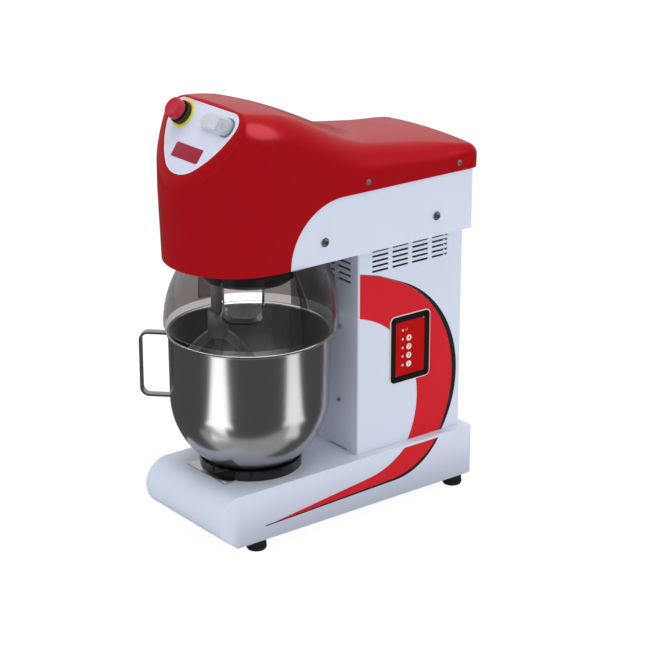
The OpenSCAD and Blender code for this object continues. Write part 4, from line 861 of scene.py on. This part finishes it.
    def build(self) -> None:
        """Builds the shell from its inner skin, a rolled lower edge and its outer skin."""
        outer = self.skin(0.0, wall_steps=14, round_steps=28, crest_steps=40)
        inner = self.skin(self.wall, wall_steps=4, round_steps=8, crest_steps=12)
        inner[0, :, 2] += self.wall / 2
        outer[0, :, 2] += self.wall / 2
        a = np.radians(np.linspace(180, 360, 9))[1:-1, None, None]
        middle = (inner[0] + outer[0]) / 2
        reach = (outer[0] - inner[0]) / 2
        lip = middle + reach * np.cos(a) + np.array([0, 0, self.wall / 2]) * np.sin(a)
        rings = np.concatenate([inner[::-1], lip, outer])
        Shape().grid(BOWL_AXIS.put(rings), around=True).piece(
            "red_shell", RED_GLOSS, Body.FRAME, ["head_cover"])


@dataclass(frozen=True)
class BaseCasing:
    """The white base: a box of sheet with a round nose over a foot that leans back."""

    half_width: float = 98.3
    front: float = -127.5
    toe: float = -96.0
    rear: float = 357.0
    low: float = 22.0
    top: float = 103.0
    nose: float = 38.0
    corner: float = 4.0
    edge: float = 1.2
    hold: float = 2.0
    sheet: float = 2.0

    def outline(self) -> Array:
        """Side outline from the foot of the rear over the top and the nose down to the toe.

        The nose is an arc about its middle, from the top to where the line from the toe touches it.
        Points at the distance hold from each arc keep the flat stretches flat.

        Returns:
            Points (n, 2) of y and height.
        """
        middle = np.array([self.front + self.nose, self.top - self.nose])
        foot = np.array([self.toe, self.low])
        away = foot - middle
        touch = math.atan2(away[1], away[0]) - math.acos(self.nose / math.hypot(*away))
        bow = arc(middle, self.nose, 90, 360 + math.degrees(touch), 64)
        lean = foot - bow[-1]
        return np.concatenate([
            [[self.rear, self.low], [self.rear, self.top], [middle[0] + self.hold, self.top]], bow,
            [bow[-1] + lean * self.hold / math.hypot(*lean), foot]])

    def build(self) -> None:
        """Carries the outline from side to side with soft side edges, which widen over the nose."""
        line = self.outline()
        normal = outward(line)
        lean = line[-1] - line[-2]
        normal[0] = (1.0, 0.0)
        normal[1] = (1.0, 1.0)
        normal[-1] = (math.hypot(*lean) / lean[1], 0.0)
        over = np.clip((self.front + self.nose - line[:, 0]) / self.nose, 0, 1)
        edge = self.edge + (self.corner - self.edge) * over
        a = np.radians(np.linspace(0, 90, 9))[:, None]
        x = np.concatenate([[self.half_width + 0 * edge], self.half_width - edge * (1 - np.cos(a)),
                            [self.half_width - edge - self.hold]])
        inset = np.concatenate([[edge + self.hold], edge * (1 - np.sin(a)), [0 * edge]])
        y, z = (line[:, i] - normal[:, i] * inset for i in (0, 1))
        half = np.stack([x, y, z], -1)
        rings = BOWL_AXIS.put(np.concatenate([half, (half * [-1, 1, 1])[::-1]]))
        made = Shape().grid(rings).lid(rings[0]).lid(rings[-1][::-1]).piece(
            "base_casing", WHITE, Body.FRAME, ["base_shell"])
        wall = made.modifiers.new("sheet", "SOLIDIFY")
        wall.thickness = self.sheet * MM
        wall.offset = -1.0


@dataclass(frozen=True)
class BowlSet:
    """The spun bowl with its rolled rim and strap handle."""

    radius: float = 119.5
    centre: float = 215.0
    rim: float = 317.0
    lean: float = 0.8
    wall: float = 1.5
    flat: float = 66.0
    bead: float = 2.0
    bead_lap: float = 1.0
    handle_angle: float = 225.0
    reach: float = 166.0
    handle_top: float = 306.0
    handle_low: float = 203.0
    strap_width: float = 14.0
    strap_thick: float = 3.6
    strap_bend: float = 14.0
    strap_edge: float = 1.4
    strap_lap: tuple[float, float] = (1.0, 3.0)

    def _side(self, inset: float) -> Array:
        """Section from the middle of the flat bottom to the top of the wall, inset inwards."""
        r = self.radius - inset
        low = self.centre - math.sqrt(self.radius ** 2 - self.flat ** 2) + inset
        start = math.degrees(math.asin((low - self.centre) / r))
        curve = arc((0, self.centre), r, start, 0, 60)
        rise = np.linspace(0, 1, 24)[1:, None] * [self.lean, self.rim - self.bead - self.centre]
        bottom = np.linspace([0, low], curve[0], 12)[:-1]
        return np.concatenate([bottom, curve, curve[-1] + rise])

    def build(self) -> None:
        """Builds the bowl by turning its section, and the handle by carrying the strap along its bends."""
        outer, inner = self._side(0.0), self._side(self.wall)
        middle = (self.radius + self.lean + self.bead - self.bead_lap, self.rim - self.bead)
        bead = arc(middle, self.bead, -120, 150, 16)
        section = np.concatenate([outer[:-1], bead, inner[::-1]])
        Shape().turned(section, BOWL_AXIS, 240).piece("bowl_spun", BOWL_STEEL, Body.BOWL, ["bowl"], sharp=60)
        self._handle()

    def _handle(self) -> None:
        """Carries a rounded strap section along the handle's line in its upright plane."""
        half = self.strap_thick / 2
        start, end = self.radius - self.strap_lap[0], self.radius - self.strap_lap[1]
        far, top, low = self.reach - half, self.handle_top - half, self.handle_low + half
        bend = self.strap_bend - half
        line = fillet([[start, top], [far, top], [far, low], [end, low]], [0, bend, bend, 0], 14)
        along = np.gradient(line, axis=0)
        along /= np.linalg.norm(along, axis=1, keepdims=True)
        across = np.stack([along[:, 1], -along[:, 0]], -1)
        section = round_box(self.strap_thick, self.strap_width, self.strap_edge, 5)
        flat = line[:, None] + across[:, None] * section[None, :, :1]
        side = np.broadcast_to(section[None, :, 1], flat.shape[:2])
        a = math.radians(self.handle_angle)
        grid = np.stack([flat[..., 0] * math.cos(a) - side * math.sin(a),
                         flat[..., 0] * math.sin(a) + side * math.cos(a), flat[..., 1]], -1)
        grid = BOWL_AXIS.put(grid)
        Shape().grid(grid, around=True).lid(grid[0]).lid(grid[-1][::-1]).piece(
            "bowl_strap", STRAP_STEEL, Body.BOWL, ["bowl_handle"])


def ring_section(width: float, low: float, high: float, edge: float) -> Array:
    """Closed section of a flat ring that reaches inwards from an outline, with soft upper edges."""
    right = arc((-edge, high - edge), edge, 0, 90, 5)
    left = arc((edge - width, high - edge), edge, 90, 180, 5)
    return np.concatenate([[[-width, low], [0.0, low]], right, left, [[-width, low]]])


@dataclass(frozen=True)
class ControlPanel:
    """The white shield on the nose with its rim, painted brighter as a highlight, and a bare red plate."""

    toe: tuple[float, float] = (58.9, 53.0)
    flank: tuple[float, float, float] = (-55.3, 124.6, 138.7)
    ear: tuple[float, float, float] = (59.5, 94.3, 20.0)
    joint: float = -49.8
    turn: float = -14.74
    low: float = -1.8
    face: float = 0.25
    edge: float = 0.2
    rim: float = 1.1
    rim_rise: float = 0.5
    rim_edge: float = 0.35
    plate_at: tuple[float, float] = (2.9, 39.4)
    plate_size: tuple[float, float] = (64.0, 22.2)
    plate_thick: float = 0.5
    plate_corners: tuple[float, float, float, float] = (4.5, 1.0, 3.0, 1.0)

    def outline(self) -> Array:
        """Right half of three touching arcs (toe, flank, ear), mirrored to the left."""
        right = np.concatenate([
            arc((0.0, self.toe[0]), self.toe[1], -90, self.joint, 24),
            arc(self.flank[:2], self.flank[2], self.joint, self.turn, 40)[1:],
            arc(self.ear[:2], self.ear[2], self.turn, 90, 20)[1:]])
        top = np.stack([np.linspace(self.ear[0], -self.ear[0], 24)[1:-1],
                        np.full(22, self.ear[1] + self.ear[2])], -1)
        return np.concatenate([right, top, (right * [-1, 1])[:0:-1]])

    def build(self) -> None:
        """Builds the shield as an edge carried round its outline, its rim and the plate."""
        shield = self.outline()
        Shape().plate(shield, plate_edge(self.face - self.low, self.edge, self.low), PANEL).piece(
            "panel_shield", PANEL_WHITE, Body.FRAME, ["control_panel"])
        section = ring_section(self.rim, self.low, self.face + self.rim_rise, self.rim_edge)
        rim = PANEL.put(carry(shield, section))
        # The rim's finish is the panel white painted brighter: a painted highlight.
        Shape().grid(rim, around=True).piece("panel_rim", RIM_PAINTED_HIGHLIGHT, Body.FRAME)
        x, y = self.plate_size[0] / 2, self.plate_size[1] / 2
        plate = fillet([[x, -y], [x, y], [-x, y], [-x, -y]], self.plate_corners, 8, closed=True)
        edge = plate_edge(self.plate_thick, self.edge, self.face)
        Shape().plate(plate, edge, PANEL.moved(*self.plate_at)).piece(
            "panel_plate", PLATE_RED, Body.FRAME)


@dataclass(frozen=True)
class StopButton:
    """The stop button: a ribbed black collar and a dished red head."""

    at: tuple[float, float] = (-47.0, 90.5)
    radius: float = 15.2
    low: float = 10.95
    high: float = 24.5
    skirt: float = 17.2
    skirt_top: float = 9.6
    skirt_low: float = 1.5
    seat: tuple[float, float] = (15.5, 4.8)
    bore: float = 7.2
    neck: float = 11.0
    neck_deep: float = 20.0
    ribs: int = 26
    rib: float = 0.35
    rib_from: float = 16.6

    def build(self) -> None:
        """Builds the head by turning its section and the collar with a wave of ribs on its skirt."""
        place = PANEL.moved(*self.at)
        r, top = self.radius, self.high
        head = np.array([
            [self.bore - 0.1, self.low], [r - 1.6, self.low], [r - 0.6, self.low + 0.5], [r, self.low + 1.8],
            [r, top - 2.0], [r - 0.25, top - 1.0], [r - 0.9, top - 0.3], [r - 2.0, top],
            [r - 3.6, top - 0.1], [r - 4.6, top - 0.7], [5.0, top - 0.9], [0.0, top - 0.9]])
        Shape().turned(head, place, 72).piece("stop_head", STOP_RED, Body.STOP_HEAD, ["stop_button"])
        k, high = self.skirt, self.skirt_top
        wide, floor = self.seat
        collar = np.array([[self.bore, floor], [wide, floor], [wide, high - 0.3], [wide + 0.3, high],
                           [k - 0.5, high], [k, high - 0.5], [k, self.skirt_low], [self.neck, self.skirt_low],
                           [self.neck, -self.neck_deep]])
        turn = full_turn(12 * self.ribs)
        wave = self.rib * np.cos(np.radians(turn) * self.ribs) * (collar[:, :1] > self.rib_from)
        grid = revolve(collar, turn)
        grid[..., :2] *= (1 + wave / collar[:, :1])[..., None]
        Shape().grid(place.put(grid), around=True).piece("stop_skirt", BLACK, Body.FRAME, ["stop_collar"])


@dataclass(frozen=True)
class RockerSwitch:
    """The switch: a pad with painted shade across its right end, a two-tone rocker and a clear boot."""

    at: tuple[float, float] = (37.0, 91.5)
    pad: tuple[float, float, float] = (72.0, 29.0, 13.0)
    pad_top: float = 1.6
    pad_sunk: float = 0.3
    hole: tuple[float, float, float] = (45.2, 19.2, 8.6)
    cap: tuple[float, float, float] = (68.0, 26.0, 12.0)
    cap_tall: float = 5.6
    cap_wall: float = 1.0
    face: tuple[float, float, float] = (44.0, 18.0, 8.0)
    pivot: float = 0.2
    tilt: float = 8.0
    horn: float = 2.85
    dip: float = 2.1
    skirt: float = 2.0
    bar_at: tuple[float, float] = (-12.0, 1.0)
    bar: tuple[float, float, float] = (6.0, 1.6, 0.6)
    bar_thick: float = 0.25
    bar_edge: float = 0.1
    ring_at: float = 12.2
    ring: tuple[float, float, float] = (17.0, 16.4, 8.0)
    ring_wide: float = 1.5
    ring_sunk: float = 0.4
    ring_rise: float = 0.12
    ring_edge: float = 0.08
    cap_edge: float = 3.2
    cap_gap: float = 0.03

    def rocker_place(self) -> Place:
        """Plane of the rocker, turned about its pivot: across and out share the tilt."""
        base = PANEL.moved(*self.at, self.pivot)
        a = math.radians(self.tilt)
        across, out = np.array(base.across), np.array(base.out)
        return Place(base.origin, tuple(across * math.cos(a) - out * math.sin(a)), base.up,
                     tuple(across * math.sin(a) + out * math.cos(a)))

    def height(self, x: Array) -> Array:
        """Height of the rocker's face: a parabola from the dip in its middle to its horns."""
        return self.dip + (self.horn - self.dip) * (x / (self.face[0] / 2)) ** 2

    def build(self) -> None:
        """Builds the pad as rings from its outline to its hole, the rocker, its marks and the boot."""
        place = PANEL.moved(*self.at)
        rim, hole, top, low = round_box(*self.pad), round_box(*self.hole), self.pad_top, -self.pad_sunk
        rows = ((rim, low), (rim, top - 0.8), (0.99 * rim, top - 0.2), (0.975 * rim, top), (hole, top),
                (hole, low))
        pad = np.stack([np.column_stack([flat, np.full(len(flat), z)]) for flat, z in rows])
        # The pad's finish darkens towards its right end: painted shade.
        Shape().grid(place.put(pad), around=True).piece("switch_pad", PAD_GREY, Body.FRAME, ["switch_frame"])
        tilted = self.rocker_place()
        ring = round_box(*self.face)
        shrink = np.array([1, 1, 0.985, 0.95, 0.8, 0.6, 0.4, 0.2, 0])[:, None]
        drop = np.array([0, 0.9, 0.3, 0, 0, 0, 0, 0, 0])[:, None]
        x, y = ring[:, 0] * shrink, ring[:, 1] * shrink
        z = self.height(x) - drop
        z[0] = -self.skirt
        Shape().grid(tilted.put(np.stack([x, y, z], -1)), around=True).piece(
            "rocker_face", ROCKER_TWO, Body.ROCKER, ["switch_rocker"])
        mark = tilted.moved(*self.bar_at, self.height(np.array(self.bar_at[0])))
        edge = plate_edge(self.bar_thick, self.bar_edge, -self.bar_edge)
        Shape().plate(round_box(*self.bar), edge, mark).piece("rocker_bar", ROCKER_INK, Body.ROCKER)
        section = ring_section(self.ring_wide, -self.ring_sunk, self.ring_rise, self.ring_edge)
        raised = carry(round_box(*self.ring), section) + [self.ring_at, 0, 0]
        raised[..., 2] += self.height(raised[..., 0])
        Shape().grid(tilted.put(raised), around=True).piece("rocker_ring", ROCKER_PALE, Body.ROCKER)
        low, high = self.pad_top + self.cap_gap, self.pad_top + self.cap_tall
        wall, edge = self.cap_wall, self.cap_edge
        outer = np.concatenate([[[0.0, low]], arc((-edge, high - edge), edge, 0, 90, 8)])
        inner = outer - [wall, 0]
        inner[1:, 1] -= wall
        Shape().plate(round_box(*self.cap), np.concatenate([inner[::-1], outer]), place).piece(
            "switch_boot", CLEAR_CAP, Body.FRAME, ["switch_cap"])


@dataclass(frozen=True)
class Keypad:
    """The keypad on the column: a pale rim, a black frame, numbered keys and lamps."""

    at: tuple[float, float] = (240.4, 257.0)
    size: tuple[float, float, float] = (79.0, 109.0, 9.0)
    rim: float = 1.3
    rim_lap: float = 0.3
    rim_drop: float = 0.2
    rim_edge: float = 0.4
    frame_wide: float = 9.7
    frame_edge: float = 0.3
    foil_gap: float = 0.02
    top: float = 2.0
    field: float = 1.4
    keys: int = 4
    key_y: float = 237.8
    key_z: float = 230.2
    pitch: float = 14.1
    key_face: float = 1.8
    digit: float = 7.4
    ink: float = 0.05
    ink_spread: float = 0.12
    ink_gap: float = 0.04
    lamp_y: float = 225.6
    lamp_z: tuple[float, ...] = (286.7, 272.3, 258.3, 244.4, 230.2)
    lamp: float = 1.7
    icon_step: float = 7.6
    icon: float = 2.0
    icon_line: float = 0.3
    icon_thick: float = 0.12
    icon_bar: tuple[float, float, float] = (0.7, 2.4, 0.2)
    icon_bar_up: float = 1.6

    def build(self) -> None:
        """Builds rim and frame as sections carried round the outline, then keys' numbers and lamps."""
        place = SIDE.moved(*self.at)
        width, height, corner = self.size
        wide, high = self.rim + self.rim_lap, self.top - self.rim_drop
        section = ring_section(wide, self.foil_gap, high, self.rim_edge)
        rim = carry(round_box(width, height, corner), section)
        Shape().grid(place.put(rim), around=True).piece("keypad_rim", RIM_PALE, Body.FRAME)
        inner = round_box(width - 2 * self.rim, height - 2 * self.rim, corner - self.rim)
        band = carry(inner, ring_section(self.frame_wide, self.foil_gap, self.top, self.frame_edge))
        Shape().grid(place.put(band), around=True).piece(
            "keypad_bezel", FRAME_BLACK, Body.FRAME, ["keypad_frame"])
        lamps = Shape()
        dome = np.array([[self.lamp, -0.2], [self.lamp, 0.15], [self.lamp * 0.8, 0.3], [0.0, 0.38]])
        for z in self.lamp_z:
            lamps.turned(dome, SIDE.moved(self.lamp_y, z, self.field), 24)
        lamps.piece("keypad_lamps", FOIL_WHITE, Body.FRAME)
        self._icon()
        for i in range(self.keys):
            self._number(i)

    def _icon(self) -> None:
        """Lays the switch mark beside the top lamp: an open ring carried along an arc, and a bar."""
        icon = Shape()
        spot = SIDE.moved(self.lamp_y + self.icon_step, self.lamp_z[0], self.field)
        line, thick = self.icon_line, self.icon_thick
        ring = arc((0, 0), self.icon, 125, 415, 28)
        section = np.array([[-line, 0.0], [-line, thick], [line, thick], [line, 0.0]])
        band = ring[:, None] + (ring / self.icon)[:, None] * section[None, :, :1]
        lift = np.broadcast_to(section[None, :, 1:], band.shape[:2] + (1,))
        icon.grid(spot.put(np.concatenate([band, lift], -1)))
        above = spot.moved(0.0, self.icon_bar_up)
        icon.plate(round_box(*self.icon_bar, 3), plate_edge(thick, thick / 3), above)
        icon.piece("keypad_icon", ICON_PINK, Body.FRAME)

    def _number(self, i: int) -> None:
        """Lays a key's plain number on its face: a text turned into a mesh, then placed.

        Args:
            i: index of the key, from the lowest.
        """
        text = bpy.data.curves.new(f"number_{i + 1}", "FONT")
        text.body = str(i + 1)
        text.size = self.digit
        text.align_x, text.align_y = "CENTER", "CENTER"
        text.extrude = self.ink
        text.offset = self.ink_spread
        source = bpy.data.objects.new(text.name, text)
        mesh = bpy.data.meshes.new_from_object(source)
        flat = np.empty(3 * len(mesh.vertices))
        mesh.vertices.foreach_get("co", flat)
        spot = SIDE.moved(self.key_y, self.key_z + i * self.pitch, self.key_face + self.ink_gap)
        placed = spot.put(flat.reshape(-1, 3)) * MM
        mesh.vertices.foreach_set("co", placed.ravel())
        mesh.name = f"key_number_{i + 1}"
        bpy.data.objects.remove(source)
        bpy.data.curves.remove(text)
        settle(bpy.data.objects.new(mesh.name, mesh), KEY_INK, Body(f"key_{i + 1}"))


class Role(Enum):
    """What a lamp does: light matt surfaces, or show in glossy ones."""

    MATT = "matt"
    SHINE = "shine"


@dataclass(frozen=True)
class Softbox:
    """A hanging lamp that looks at the object: its place and size in metres, its power in watts."""

    name: str
    where: tuple[float, float, float]
    size: tuple[float, float]
    power: float


@dataclass(frozen=True)
class Strip:
    """A glowing strip on the floor that leads away from the bowl axis: metres and watts."""

    name: str
    way: tuple[float, float]
    span: tuple[float, float]
    width: float
    power: float


FRONT_WAY = (0.22, -0.975)
SIDE_WAY = (0.911, 0.412)
NEAR_WAY = (0.79, -0.62)


@dataclass(frozen=True)
class Studio:
    """Camera, lights, white surroundings and floor."""

    eye: tuple[float, float, float] = (2.4283, -1.85865, 1.4149)
    azimuth: float = 52.12
    elevation: float = 20.09
    lens: float = 119.26
    sensor: float = 36.0
    ambient: float = 0.78
    backdrop: tuple[float, float, float, float] = (-0.1, 0.9, 0.06, 0.6)
    floor_reach: float = 12.0
    floor_glow: float = 1.12
    floor_share: float = 0.84
    floor_gloss: float = 0.10
    strip_height: float = 0.003
    aim: tuple[float, float, float] = (0.0, -0.05, 0.4)
    boxes: tuple[Softbox, ...] = (
        Softbox("key_box", (0.1, -2.3, 1.25), (0.9, 1.7), 4.5),
        Softbox("side_box", (2.35, 0.55, 1.25), (0.55, 1.7), 6.4),
        Softbox("top_box", (-0.2, 0.25, 2.6), (1.7, 1.5), 22.0))
    nose_box: Softbox = Softbox("nose_shine", (1.14, 0.32, 1.73), (1.29, 1.58), 74.0)
    nose_tint: Colour = (1.0, 0.42, 0.55)
    strips: tuple[Strip, ...] = (
        Strip("front_strip", FRONT_WAY, (0.42, 1.15), 0.30, 1.5),
        Strip("front_tail", FRONT_WAY, (0.24, 0.42), 0.12, 0.11),
        Strip("side_strip", SIDE_WAY, (0.42, 1.15), 0.27, 0.9),
        Strip("side_tail", SIDE_WAY, (0.24, 0.42), 0.11, 0.06),
        Strip("near_strip", NEAR_WAY, (0.10, 0.27), 0.62, 0.12))
    inside_size: float = 0.19
    inside_power: float = 0.35
    inside_height: float = 0.372

    def build(self) -> None:
        """Sets up the camera, the lamps, the world and the floor."""
        self._camera()
        self._world()
        self._floor()
        for box in self.boxes:
            self._hang(box, Role.MATT)
        nose = self._hang(self.nose_box, Role.SHINE)
        nose.data.color = self.nose_tint
        self._show(nose, "red_shell")
        for strip in self.strips:
            self._lay(strip)
        inside = self._lamp("bowl_glow", (self.inside_size, self.inside_size), self.inside_power, Role.SHINE)
        inside.location = (0.0, AXIS_Y * MM, self.inside_height)
        self._show(inside, "bowl_spun")
        bpy.context.scene.view_settings.view_transform = "Standard"

    def _camera(self) -> None:
        """Places the camera at its eye point, looking along its azimuth and elevation."""
        data = bpy.data.cameras.new("photo_camera")
        data.lens, data.sensor_width = self.lens, self.sensor
        data.sensor_fit = "HORIZONTAL"
        data.clip_end = 50.0
        camera = bpy.data.objects.new("photo_camera", data)
        bpy.context.scene.collection.objects.link(camera)
        a, e = math.radians(self.azimuth), math.radians(self.elevation)
        ahead = Vector((-math.sin(a) * math.cos(e), math.cos(a) * math.cos(e), -math.sin(e)))
        camera.rotation_mode = "QUATERNION"
        camera.rotation_quaternion = ahead.to_track_quat("-Z", "Y")
        camera.location = self.eye
        bpy.context.scene.camera = camera

    def _world(self) -> None:
        """White for the camera and through glass, soft light for matt rays, a studio for glossy ones.

        Glossy rays meet a pale backdrop behind the object and a dark room in front of it: a smooth
        step of the direction's share along the view.
        """
        world = bpy.data.worlds.new("studio")
        bpy.context.scene.world = world
        world.use_nodes = True
        world.node_tree.nodes.clear()
        graph = Graph(world.node_tree)
        path = graph.node("ShaderNodeLightPath").outputs
        way = graph.node("ShaderNodeTexCoord").outputs["Generated"]
        a = math.radians(self.azimuth)
        back = graph.node("ShaderNodeVectorMath", {0: way, 1: (-math.sin(a), math.cos(a), 0.35)},
                          operation="DOT_PRODUCT").outputs["Value"]
        glow = graph.node("ShaderNodeMapRange", {
            "Value": back, "From Min": self.backdrop[0], "From Max": self.backdrop[1],
            "To Min": self.backdrop[2], "To Max": self.backdrop[3]}, interpolation_type="SMOOTHSTEP")
        light = graph.node("ShaderNodeBackground", {"Color": (0.93, 0.96, 1.0, 1), "Strength": self.ambient})
        room = graph.node("ShaderNodeBackground", {"Color": (1.0, 0.99, 1.0, 1), "Strength": glow.outputs[0]})
        white = graph.node("ShaderNodeBackground", {"Color": (1, 1, 1, 1), "Strength": 1.0})
        gloss = graph.node("ShaderNodeMixShader", {
            0: path["Is Glossy Ray"], 1: light.outputs[0], 2: room.outputs[0]})
        straight = graph.math("MAXIMUM", path["Is Camera Ray"], path["Is Transmission Ray"])
        seen = graph.node("ShaderNodeMixShader", {0: straight, 1: gloss.outputs[0], 2: white.outputs[0]})
        output = graph.node("ShaderNodeOutputWorld")
        graph.tree.links.new(seen.outputs[0], output.inputs["Surface"])

    def _floor(self) -> None:
        """A pale floor that keeps a soft shadow: mostly plain white where seen, dim in gloss."""
        size = self.floor_reach
        mesh = bpy.data.meshes.new("floor")
        corners = [(-size, -size, 0), (size, -size, 0), (size, size, 0), (-size, size, 0)]
        mesh.from_pydata(corners, [], [(0, 1, 2, 3)])
        floor = bpy.data.objects.new("floor", mesh)
        bpy.context.scene.collection.objects.link(floor)
        made = bpy.data.materials.new("pale_floor")
        made.use_nodes = True
        made.node_tree.nodes.clear()
        graph = Graph(made.node_tree)
        path = graph.node("ShaderNodeLightPath").outputs
        lit = graph.node("ShaderNodeBsdfDiffuse", {"Color": (0.86, 0.87, 0.89, 1)})
        plain = graph.node("ShaderNodeEmission", {"Color": (1, 1, 1, 1), "Strength": self.floor_glow})
        dark = graph.node("ShaderNodeEmission", {"Color": (1, 1, 1, 1), "Strength": self.floor_gloss})
        seen = graph.math("MAXIMUM", path["Is Camera Ray"], path["Is Transmission Ray"])
        share = graph.math("MULTIPLY", seen, self.floor_share)
        mix = graph.node("ShaderNodeMixShader", {0: share, 1: lit.outputs[0], 2: plain.outputs[0]})
        mirrored = graph.math("MULTIPLY", path["Is Glossy Ray"], graph.math("SUBTRACT", 1.0, seen))
        whole = graph.node("ShaderNodeMixShader", {0: mirrored, 1: mix.outputs[0], 2: dark.outputs[0]})
        output = graph.node("ShaderNodeOutputMaterial")
        graph.tree.links.new(whole.outputs[0], output.inputs["Surface"])
        mesh.materials.append(made)

    def _hang(self, box: Softbox, role: Role) -> bpy.types.Object:
        """Hangs a lamp that looks at the middle of the object.

        Args:
            box: the lamp's place, size and power.
            role: whether it lights matt surfaces or shows in glossy ones.

        Returns:
            The lamp's object.
        """
        lamp = self._lamp(box.name, box.size, box.power, role)
        lamp.location = box.where
        aim = Vector(self.aim) - lamp.location
        lamp.rotation_euler = aim.to_track_quat("-Z", "Y").to_euler()
        return lamp

    def _lay(self, strip: Strip) -> None:
        """Lays a strip face up on the floor, away from the bowl axis, that shows in the bowl alone."""
        near, far = strip.span
        x, y = strip.way
        lamp = self._lamp(strip.name, (strip.width, far - near), strip.power, Role.SHINE)
        self._show(lamp, "bowl_spun")
        middle = (near + far) / 2
        lamp.location = (x * middle, AXIS_Y * MM + y * middle, self.strip_height)
        lamp.rotation_euler = (math.pi, 0.0, math.atan2(y, x) - math.pi / 2)

    @staticmethod
    def _show(lamp: bpy.types.Object, piece: str) -> None:
        """Lets a lamp reach the named piece alone."""
        chosen = bpy.data.collections.new(f"{lamp.name}_shows_in")
        chosen.objects.link(bpy.data.objects[piece])
        lamp.light_linking.receiver_collection = chosen

    @staticmethod
    def _lamp(name: str, size: tuple[float, float], power: float, role: Role) -> bpy.types.Object:
        """Makes a rectangular lamp that the camera doesn't see.

        Args:
            name: name of the lamp.
            size: its width and height.
            power: its power in watts.
            role: whether it lights matt surfaces or shows in glossy ones.

        Returns:
            The lamp's object.
        """
        data = bpy.data.lights.new(name, "AREA")
        data.shape = "RECTANGLE"
        data.size, data.size_y = size
        data.energy = power
        lamp = bpy.data.objects.new(name, data)
        bpy.context.scene.collection.objects.link(lamp)
        lamp.visible_camera = False
        lamp.visible_transmission = False
        lamp.visible_diffuse = role is Role.MATT
        lamp.visible_glossy = role is Role.SHINE
        return lamp


def main() -> None:
    """Builds the scene piece by piece."""
    logging.basicConfig(level=logging.INFO, format="%(message)s")
    CadNodes().dress()
    HeadCover().build()
    BaseCasing().build()
    BowlSet().build()
    ControlPanel().build()
    StopButton().build()
    RockerSwitch().build()
    Keypad().build()
    Studio().build()


if __name__ == "__main__":
    main()
